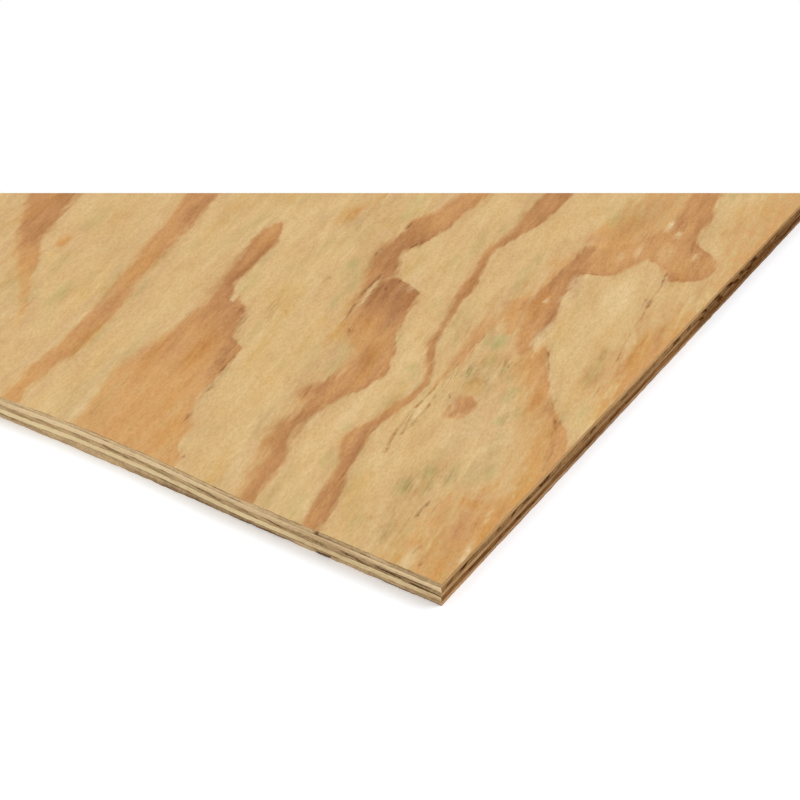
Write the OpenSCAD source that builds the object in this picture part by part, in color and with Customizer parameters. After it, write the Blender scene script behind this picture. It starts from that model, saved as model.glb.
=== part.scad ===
// Plywood sheet: five pine veneers glued with their grain crossed, trimmed square.
// Lies flat on its back veneer. +X runs along the face grain, +Z up through the face,
// and the origin is the middle of the underside. Millimetres.

/* [Sheet] */
// Length, along the grain of the face veneer
sheet_length = 2438.4; // [600:0.1:3050]
// Width, across the grain of the face veneer
sheet_width = 1219.2; // [300:0.1:1525]

/* [Veneers] */
// Thickness of the face veneer, which is the top of the sheet
face_thickness = 3.3; // [1.5:0.1:4.5]
// Thickness of each of the two crossbands, whose grain runs across the sheet
crossband_thickness = 4.1; // [1.5:0.1:5]
// Thickness of the centre veneer
centre_thickness = 3.7; // [1.5:0.1:5]
// Thickness of the back veneer, which is the underside of the sheet
back_thickness = 3.1; // [1.5:0.1:4.5]

/* [Knothole in the back veneer] */
// Radius of the knothole, which the saw cut open at the short edge
knothole_radius = 8; // [6:0.5:20]
// How far the middle of the knothole lies in from the short edge
knothole_inset = 4; // [0:0.5:5]
// How far the middle of the knothole lies from the front long edge
knothole_from_front = 89; // [25:1:270]

/* [Hidden] */

// Lay-up from the underside upwards
layup = [back_thickness, crossband_thickness, centre_thickness, crossband_thickness, face_thickness];
back = 0;
lower = 1;
centre = 2;
upper = 3;
face = 4;

left_edge = -sheet_length / 2;
front_edge = -sheet_width / 2;
// A cut runs this far past both faces of the veneer that it goes through
cut_overrun = 1;

long_grain_colour = [0.85, 0.70, 0.48];
cross_grain_colour = [0.66, 0.50, 0.34];
centre_grain_colour = [0.78, 0.63, 0.44];
back_colour = [0.74, 0.58, 0.38];

// Height of the underside of a layer: the sum of the layers below it
function seat(layer) = layer == 0 ? 0 : seat(layer - 1) + layup[layer - 1];

// One veneer, trimmed flush with the others on all four sides
module veneer(layer) {
    translate([left_edge, front_edge, seat(layer)])
        cube([sheet_length, sheet_width, layup[layer]]);
}

// The round hole that a fallen knot left, right through one veneer
module knothole(layer) {
    translate([left_edge + knothole_inset, front_edge + knothole_from_front, seat(layer) - cut_overrun])
        cylinder(h = layup[layer] + 2 * cut_overrun, r = knothole_radius, $fn = 64);
}

module back_veneer() {
    color(back_colour)
        difference() {
            veneer(back);
            knothole(back);
        }
}

module lower_crossband() {
    color(cross_grain_colour) veneer(lower);
}

module centre_veneer() {
    color(centre_grain_colour) veneer(centre);
}

module upper_crossband() {
    color(cross_grain_colour) veneer(upper);
}

module face_veneer() {
    color(long_grain_colour) veneer(face);
}

back_veneer();
lower_crossband();
centre_veneer();
upper_crossband();
face_veneer();
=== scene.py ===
"""Dresses the five glued veneers of a sheet of pine plywood, and sets up the stage that it is seen on."""

import math
from collections import namedtuple

import bmesh
import bpy
from mathutils import Color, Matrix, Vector


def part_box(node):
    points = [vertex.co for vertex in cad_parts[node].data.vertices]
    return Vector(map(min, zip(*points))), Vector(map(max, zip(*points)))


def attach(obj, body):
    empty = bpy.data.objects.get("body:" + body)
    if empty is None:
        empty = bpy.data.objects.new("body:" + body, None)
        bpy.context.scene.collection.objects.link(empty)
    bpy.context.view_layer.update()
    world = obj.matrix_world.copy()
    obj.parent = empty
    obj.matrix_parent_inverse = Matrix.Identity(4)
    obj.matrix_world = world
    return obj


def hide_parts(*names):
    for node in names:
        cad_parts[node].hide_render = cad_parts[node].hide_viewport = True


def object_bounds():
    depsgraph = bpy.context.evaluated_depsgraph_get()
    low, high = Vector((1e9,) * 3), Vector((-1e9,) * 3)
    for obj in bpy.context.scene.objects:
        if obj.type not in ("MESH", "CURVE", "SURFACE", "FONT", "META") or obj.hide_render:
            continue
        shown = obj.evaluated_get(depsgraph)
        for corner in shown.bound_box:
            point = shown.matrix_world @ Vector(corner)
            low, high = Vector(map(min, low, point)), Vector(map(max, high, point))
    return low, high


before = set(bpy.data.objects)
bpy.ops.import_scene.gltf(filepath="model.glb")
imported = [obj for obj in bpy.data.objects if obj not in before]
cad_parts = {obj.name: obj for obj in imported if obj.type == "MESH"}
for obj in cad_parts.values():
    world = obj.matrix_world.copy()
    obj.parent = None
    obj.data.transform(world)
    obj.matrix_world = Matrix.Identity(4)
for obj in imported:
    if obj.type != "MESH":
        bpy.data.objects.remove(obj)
CAD_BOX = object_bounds()

bl_info = {
    "name": "Plywood sheet",
    "version": (1, 0, 0),
    "blender": (4, 5, 0),
    "location": "3D View > Sidebar > Plywood",
    "description": "Dresses the veneers of a plywood sheet and sets up its stage",
    "category": "Add Mesh",
}

MM = 0.001
# Vertices whose heights differ by less than this are level
LEVEL_HAIR = 1e-6

# The sheet as it was packed. The figure is drawn from its left front corner, in millimetres.
SHEET_LOW, SHEET_HIGH = CAD_BOX
CORNER = Vector((SHEET_LOW.x, SHEET_LOW.y, 0))
LENGTH = SHEET_HIGH.x - SHEET_LOW.x
WIDTH = SHEET_HIGH.y - SHEET_LOW.y

# A band of dark latewood. Each row is the distance along the long edge, how far across the sheet the band's
# near and far sides are there, and how dark it is. A band ends where its sides cross.
# The two softnesses say over how many millimetres each side fades. A band that lies over the others
# may darken them.
Band = namedtuple("Band", "over soft_near soft_far rows")

FACE_BANDS = (
    # Far left band
    Band(False, 2.0, 2.5, (
        (60, 412, 408, 0.30), (100, 430, 438, 0.35), (140, 458, 476, 0.50), (160, 470, 496, 0.62),
        (180, 486, 512, 0.78), (200, 491, 526, 0.82), (220, 499, 538, 0.80), (240, 505, 548, 0.80),
        (270, 512, 552, 0.80), (320, 525, 560, 0.80), (380, 540, 572, 0.75), (450, 556, 585, 0.70),
        (520, 575, 596, 0.60), (580, 596, 590, 0.50),
    )),
    # Second band from the left
    Band(False, 2.2, 1.7, (
        (-10, 345, 362, 0.54), (20, 355, 370, 0.58), (40, 357, 373, 0.60), (60, 358, 374, 0.61),
        (80, 359, 376, 0.62), (100, 363, 381, 0.62), (120, 365, 385, 0.66), (140, 368, 388, 0.66),
        (160, 376, 394, 0.64), (180, 384, 400, 0.66), (200, 386, 406, 0.68), (220, 390, 412, 0.68),
        (240, 394, 415, 0.68), (260, 398, 421, 0.70), (280, 403, 428, 0.71), (300, 407, 435, 0.76),
        (330, 414, 440, 0.80), (380, 425, 447, 0.78), (440, 438, 455, 0.74), (520, 455, 466, 0.60),
        (580, 473, 468, 0.50),
    )),
    # Broad flame and its tail
    Band(False, 1.6, 1.6, (
        (-10, 208, 299, 0.44), (0, 213, 302, 0.44), (10, 215, 304, 0.45), (20, 224, 306, 0.47),
        (40, 230, 312, 0.44), (50, 236, 316, 0.43), (60, 243, 318, 0.44), (80, 249, 320, 0.50),
        (100, 252, 319, 0.61), (120, 254, 318, 0.67), (135, 257, 318, 0.72), (143, 260, 318, 0.75),
        (147, 270, 318, 0.78), (160, 277, 319, 0.80), (170, 281, 320, 0.84), (178, 283, 321, 0.86),
        (184, 287, 322, 0.86), (188, 304, 323, 0.86), (200, 309, 326, 0.86), (205, 313, 327, 0.87),
        (210, 317, 329, 0.88), (220, 319, 334, 0.90), (240, 320, 338, 0.89), (260, 323, 342, 0.87),
        (270, 323, 345, 0.87), (280, 325, 346, 0.86), (290, 331, 346, 0.84), (300, 337, 344, 0.80),
        (309, 345, 339, 0.80),
    )),
    # Dark lobe of the flame
    Band(True, 2.0, 1.6, (
        (140, 292, 288, 0.70), (158, 284, 300, 0.80), (170, 284, 302, 0.86), (180, 285, 302, 0.88),
        (186, 289, 302, 0.90), (192, 296, 302, 0.90), (198, 300, 302, 0.86), (203, 304, 299, 0.80),
    )),
    # Dark patch under the flame
    Band(True, 1.6, 4.0, (
        (96, 266, 262, 0.70), (112, 260, 266, 0.82), (125, 258, 269, 0.88), (138, 260, 270, 0.92),
        (145, 264, 270, 0.92), (150, 271, 266, 0.84),
    )),
    # Middle band, which swells into a dark block
    Band(False, 1.5, 2.8, (
        (-10, 141, 154, 0.78), (0, 145, 158, 0.78), (20, 149, 164, 0.72), (40, 152, 170, 0.66),
        (50, 155, 174, 0.70), (60, 159, 179, 0.78), (70, 165, 183, 0.82), (80, 167, 186, 0.84),
        (90, 168, 185, 0.86), (100, 168, 183, 0.82), (110, 167, 183, 0.79), (120, 165, 184, 0.76),
        (130, 163, 185, 0.76), (137, 160, 185, 0.76), (145, 156, 184, 0.76), (160, 154, 183, 0.75),
        (170, 153, 184, 0.76), (178, 154, 187, 0.74), (184, 158, 191, 0.70), (190, 160, 199, 0.66),
        (200, 164, 211, 0.64), (210, 170, 216, 0.68), (220, 175, 220, 0.74), (230, 178, 223, 0.80),
        (240, 180, 225, 0.90), (250, 183, 227, 0.98), (260, 185, 229, 1.01), (270, 188, 230, 1.02),
        (275, 190, 229, 1.01), (279, 197, 226, 0.98), (283, 210, 220, 0.92), (286, 219, 214, 0.90),
    )),
    # Fuzzy patch over the middle band
    Band(True, 3.0, 4.0, (
        (106, 186, 180, 0.40), (115, 179, 191, 0.66), (122, 178, 196, 0.78), (130, 178, 192, 0.82),
        (140, 177, 188, 0.80), (152, 176, 185, 0.66), (168, 180, 177, 0.40),
    )),
    # Upper arm of the middle band
    Band(False, 1.4, 1.8, (
        (246, 230, 226, 0.84), (256, 226, 232, 0.86), (265, 225, 236, 0.84), (275, 223, 240, 0.84),
        (280, 221, 242, 0.84), (284, 219, 243, 0.85), (290, 221, 245, 0.86), (300, 225, 249, 0.88),
        (308, 229, 251, 0.90), (318, 232, 253, 0.90),
        (326, 231, 252, 0.90), (332, 228, 252, 0.90), (345, 226, 251, 0.92), (360, 224, 253, 0.90),
        (368, 223, 252, 0.82), (376, 223, 248, 0.78), (390, 223, 245, 0.74), (410, 223, 244, 0.70),
        (440, 224, 243, 0.60), (480, 228, 244, 0.60), (540, 238, 252, 0.60), (590, 250, 257, 0.50),
        (635, 264, 258, 0.40),
    )),
    # Narrow winding band
    Band(False, 0.9, 0.9, (
        (-10, 91, 102, 0.78), (0, 94, 106, 0.78), (20, 97, 112, 0.80), (30, 99, 114, 0.82),
        (40, 103, 116, 0.82), (50, 107, 118, 0.82), (60, 111, 121, 0.81), (70, 114, 125, 0.80),
        (80, 117, 131, 0.78), (90, 119, 135, 0.77), (100, 121, 136, 0.76), (110, 123, 134, 0.76),
        (120, 123, 131, 0.74), (140, 121, 129, 0.68), (155, 119, 126, 0.70), (165, 119, 125, 0.77),
        (175, 120, 126, 0.82), (185, 123, 129, 0.85), (200, 130, 138, 0.85), (210, 136, 143, 0.86),
        (220, 141, 148, 0.87), (240, 147, 152, 0.89), (260, 151, 157, 0.92), (280, 156, 163, 0.92),
        (300, 158, 169, 0.92), (320, 163, 172, 0.91), (340, 169, 176, 0.86), (360, 173, 180, 0.80),
        (372, 171, 179, 0.76), (385, 169, 179, 0.76), (400, 166, 178, 0.80), (410, 164, 180, 0.84),
        (420, 163, 182, 0.88), (440, 163, 184, 0.90), (460, 164, 185, 0.90), (480, 166, 185, 0.90),
        (520, 172, 188, 0.90), (570, 184, 194, 0.80), (610, 194, 199, 0.70), (640, 205, 199, 0.50),
    )),
    # Slanting foot of the island figure
    Band(False, 1.6, 8.0, (
        (90, -20, 4, 0.40), (130, -16, 17, 0.48), (160, 0, 28, 0.52), (170, 5, 34, 0.56),
        (180, 11, 40, 0.58), (190, 22, 46, 0.60), (200, 33, 54, 0.60), (215, 43, 67, 0.60),
        (225, 50, 75, 0.60), (240, 59, 82, 0.64), (250, 65, 84, 0.66), (258, 69, 82, 0.62),
        (268, 77, 74, 0.50),
    )),
    # Arch over the island
    Band(False, 1.5, 3.0, (
        (236, 86, 83, 0.60), (250, 82, 92, 0.72), (262, 86, 98, 0.68), (275, 88, 107, 0.66),
        (290, 85, 114, 0.72), (300, 87, 118, 0.78), (310, 89, 119, 0.82), (320, 92, 118, 0.84),
        (330, 96, 117, 0.85), (345, 98, 117, 0.88), (360, 99, 118, 0.90), (368, 97, 118, 0.84),
        (371, 86, 117, 0.74), (378, 77, 116, 0.70), (390, 73, 115, 0.66), (400, 70, 114, 0.64),
        (408, 68, 110, 0.66), (414, 66, 104, 0.60), (424, 70, 96, 0.56), (440, 72, 88, 0.52),
        (460, 80, 78, 0.50),
    )),
    # Dark crest of the arch
    Band(True, 2.2, 2.0, (
        (284, 110, 106, 0.60), (300, 104, 118, 0.76), (330, 103, 118, 0.82), (360, 104, 118, 0.86),
        (390, 104, 117, 0.84), (405, 105, 115, 0.80), (415, 112, 108, 0.60),
    )),
    # Lobe at the end of the island, and the band that leaves it
    Band(False, 1.6, 3.0, (
        (390, 41, 37, 0.70), (398, 28, 45, 0.80), (404, 21, 50, 0.78), (409, 18, 56, 0.76),
        (413, 17, 70, 0.70), (420, 15, 76, 0.66), (430, 16, 80, 0.64), (440, 21, 82, 0.66),
        (447, 29, 82, 0.70), (452, 40, 80, 0.72), (460, 47, 79, 0.74), (480, 49, 79, 0.76),
        (500, 51, 80, 0.76), (510, 54, 81, 0.75), (520, 58, 82, 0.74), (540, 62, 84, 0.72),
        (580, 72, 86, 0.66), (610, 80, 86, 0.55), (640, 90, 84, 0.40),
    )),
    # Tan cloud beside the island
    Band(True, 6.0, 6.0, (
        (396, 100, 96, 0.30), (412, 82, 117, 0.44), (430, 76, 120, 0.42), (450, 72, 118, 0.36),
        (480, 74, 116, 0.34), (510, 78, 112, 0.36), (560, 88, 114, 0.34), (620, 104, 98, 0.25),
    )),
    # Feathered streak behind the knot
    Band(True, 2.5, 3.0, (
        (160, 115, 112, 0.30), (190, 113, 119, 0.42), (210, 112, 121, 0.50), (230, 115, 126, 0.52),
        (250, 117, 130, 0.52), (264, 119, 130, 0.46), (280, 122, 128, 0.34), (300, 123, 118, 0.24),
    )),
    # Orange fringe over the arch
    Band(True, 3.0, 3.5, (
        (258, 112, 108, 0.30), (268, 100, 114, 0.42), (276, 104, 121, 0.44), (290, 112, 126, 0.46),
        (304, 113, 126, 0.46), (320, 113, 121, 0.40), (345, 113, 122, 0.42), (370, 113, 125, 0.46),
        (384, 110, 118, 0.40), (398, 112, 106, 0.30),
    )),
    # Warm corner
    Band(True, 8.0, 14.0, (
        (-10, -30, 38, 0.40), (30, -30, 40, 0.42), (60, -30, 38, 0.46), (80, -30, 36, 0.44),
        (90, -30, 20, 0.40), (104, -30, 10, 0.44), (130, -30, 14, 0.48), (150, -30, 18, 0.48),
        (168, -30, 6, 0.46), (180, -30, -24, 0.40),
    )),
    # Warm strip along the front edge
    Band(True, 8.0, 10.0, (
        (190, -30, -14, 0.30), (220, -30, 6, 0.40), (260, -30, 16, 0.56), (300, -30, 20, 0.58),
        (340, -30, 14, 0.40), (380, -30, 8, 0.28), (420, -30, 10, 0.30), (460, -30, 18, 0.34),
        (500, -30, 24, 0.34), (560, -30, 26, 0.30), (610, -30, 10, 0.25), (640, -30, -24, 0.20),
    )),
    # Faint short band
    Band(False, 2.5, 2.5, (
        (316, 303, 298, 0.20), (328, 299, 304, 0.30), (340, 297, 305, 0.38), (352, 296, 304, 0.38),
        (365, 295, 302, 0.32), (385, 293, 299, 0.26), (420, 290, 294, 0.24), (450, 291, 286, 0.20),
    )),
    # Small eye of a knot
    Band(False, 1.3, 1.5, (
        (156, 86, 82, 0.40), (158, 80.5, 88, 0.52), (163, 78.5, 91.5, 0.60), (170, 78.5, 94, 0.64),
        (175, 80, 94.5, 0.64), (179, 84, 93, 0.58), (183, 91, 86, 0.40),
    )),
    # Torn fibres of the knot
    Band(True, 1.2, 1.2, (
        (145, 88, 86, 0.34), (151, 85.4, 88.6, 0.54), (160, 85, 89, 0.58), (166, 88, 85, 0.50),
    )),
    Band(True, 1.2, 1.2, (
        (150, 82, 80, 0.34), (155, 80, 83, 0.50), (162, 80, 84, 0.56), (168, 84, 81, 0.50),
    )),
    Band(True, 1.2, 1.2, (
        (148, 93, 91, 0.30), (154, 91, 94, 0.46), (162, 91, 95.5, 0.54), (168, 95, 92, 0.50),
    )),
    # Orange fleck by the far left band
    Band(False, 2.5, 2.5, (
        (170, 472, 466, 0.40), (182, 464, 473, 0.55), (192, 466, 474, 0.50), (206, 474, 468, 0.40),
    )),
)

# A place's level in a band says how many softnesses it lies inside the nearer side, and is under 0 outside.
# How many levels inside or outside a band still count, how many it loses with each millimetre past its ends,
# and the least width in millimetres that shares across it are worked out from
LEVEL_LIMIT = 8.0
END_FALL = 0.5
NARROWEST_BAND = 0.001

# Hairline checks in the face. Each row is the distance along the long edge, how far across the sheet
# the line's middle is there, and its half width.
FACE_CHECKS = (
    (
        (200, 12, -3.0), (222, 14.4, -0.8), (240, 16.8, 0.0), (260, 19.6, -0.3), (280, 23.4, 0.0),
        (300, 27.6, -0.2), (320, 31, -0.1), (338, 33.2, 0.2), (352, 36.4, 0.5), (365, 38.2, 0.1),
        (380, 39.2, 0.2), (390, 41.8, 0.9), (400, 44, 0.9), (410, 46, -3.0),
    ),
    (
        (82, 102.5, -3.0), (92, 103.6, 0.8), (102, 105.4, 1.2), (112, 108.8, 1.0), (122, 110.2, 0.7),
        (134, 111.8, 0.5), (150, 113.2, 0.8), (166, 113.9, 0.6), (184, 116, 0.0), (204, 118.4, 0.2),
        (222, 120.6, -0.2), (242, 122.4, -3.0),
    ),
    (
        (106, 105, -3.0), (116, 105.4, 0.3), (130, 105, 0.6), (145, 105.6, 0.4), (160, 107.8, 0.6),
        (176, 110.6, 0.0), (192, 112.8, 0.1), (212, 114.6, -3.0),
    ),
)

# Short dark strokes of torn fibre on the face: where each starts and ends, along and across, and its
# half width. The strokes of a row don't overlap along the long edge.
Stroke = namedtuple("Stroke", "start start_across end end_across half_width")

FACE_STROKES = (
    (
        (4, 20.5, 18, 23.5, 0.8), (40, 48.3, 72, 49.8, 0.8), (84, 46, 99, 47, 0.6),
        (130, 3, 164, 10, 0.5), (170, 14, 192, 27, 0.9), (198, 32, 212, 41, 0.5), (230, 52, 262, 72, 0.4),
        (274, 213, 286, 211, 1.4), (300, 250, 316, 251, 0.6), (346, 250.6, 367, 252.6, 1.0),
        (436, 42.5, 460, 47, 0.9),
    ),
    (
        (12, 31, 32, 30, 0.5), (100, 124, 120, 122.6, 0.5), (139, 269, 158, 277, 0.9),
        (164, 98.6, 175, 100, 1.0), (194, 203, 206, 207, 1.4), (210, 216, 240, 224.4, 0.9),
        (246, 226, 285, 229.6, 0.9), (290, 225, 309, 226, 0.7), (322, 232, 339, 230, 1.0),
        (350, 41, 364, 42, 0.5),
    ),
    (
        (7, 213, 22, 216, 0.7), (44, 238, 58, 242, 0.7), (82, 247.4, 98, 249, 0.7),
        (104, 254, 140, 258.6, 0.6), (164, 281, 182, 284.4, 0.8), (197, 104, 212, 106, 0.9),
        (218, 80, 235, 88, 0.9), (262, 214, 275, 217, 1.6), (390, 33, 404, 34, 0.6),
    ),
)

# The gap on both sides of a stroke, the half width at which a line can't be seen, and the length of
# a stroke's tips, in millimetres at most and as a share of the stroke
STROKE_GAP = 1.2
CLEAR_OF_STROKE = -3.0
LONGEST_TIP = 4
TIP_SHARE = 0.3
# How far outside and inside its sides a hairline fades
LINE_FADE = (-1.4 * MM, 1.0 * MM)

# A long soft mark on the face: its middle, its half length along the grain, its half width and its strength
Mark = namedtuple("Mark", "along across half_length half_width strength")

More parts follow.
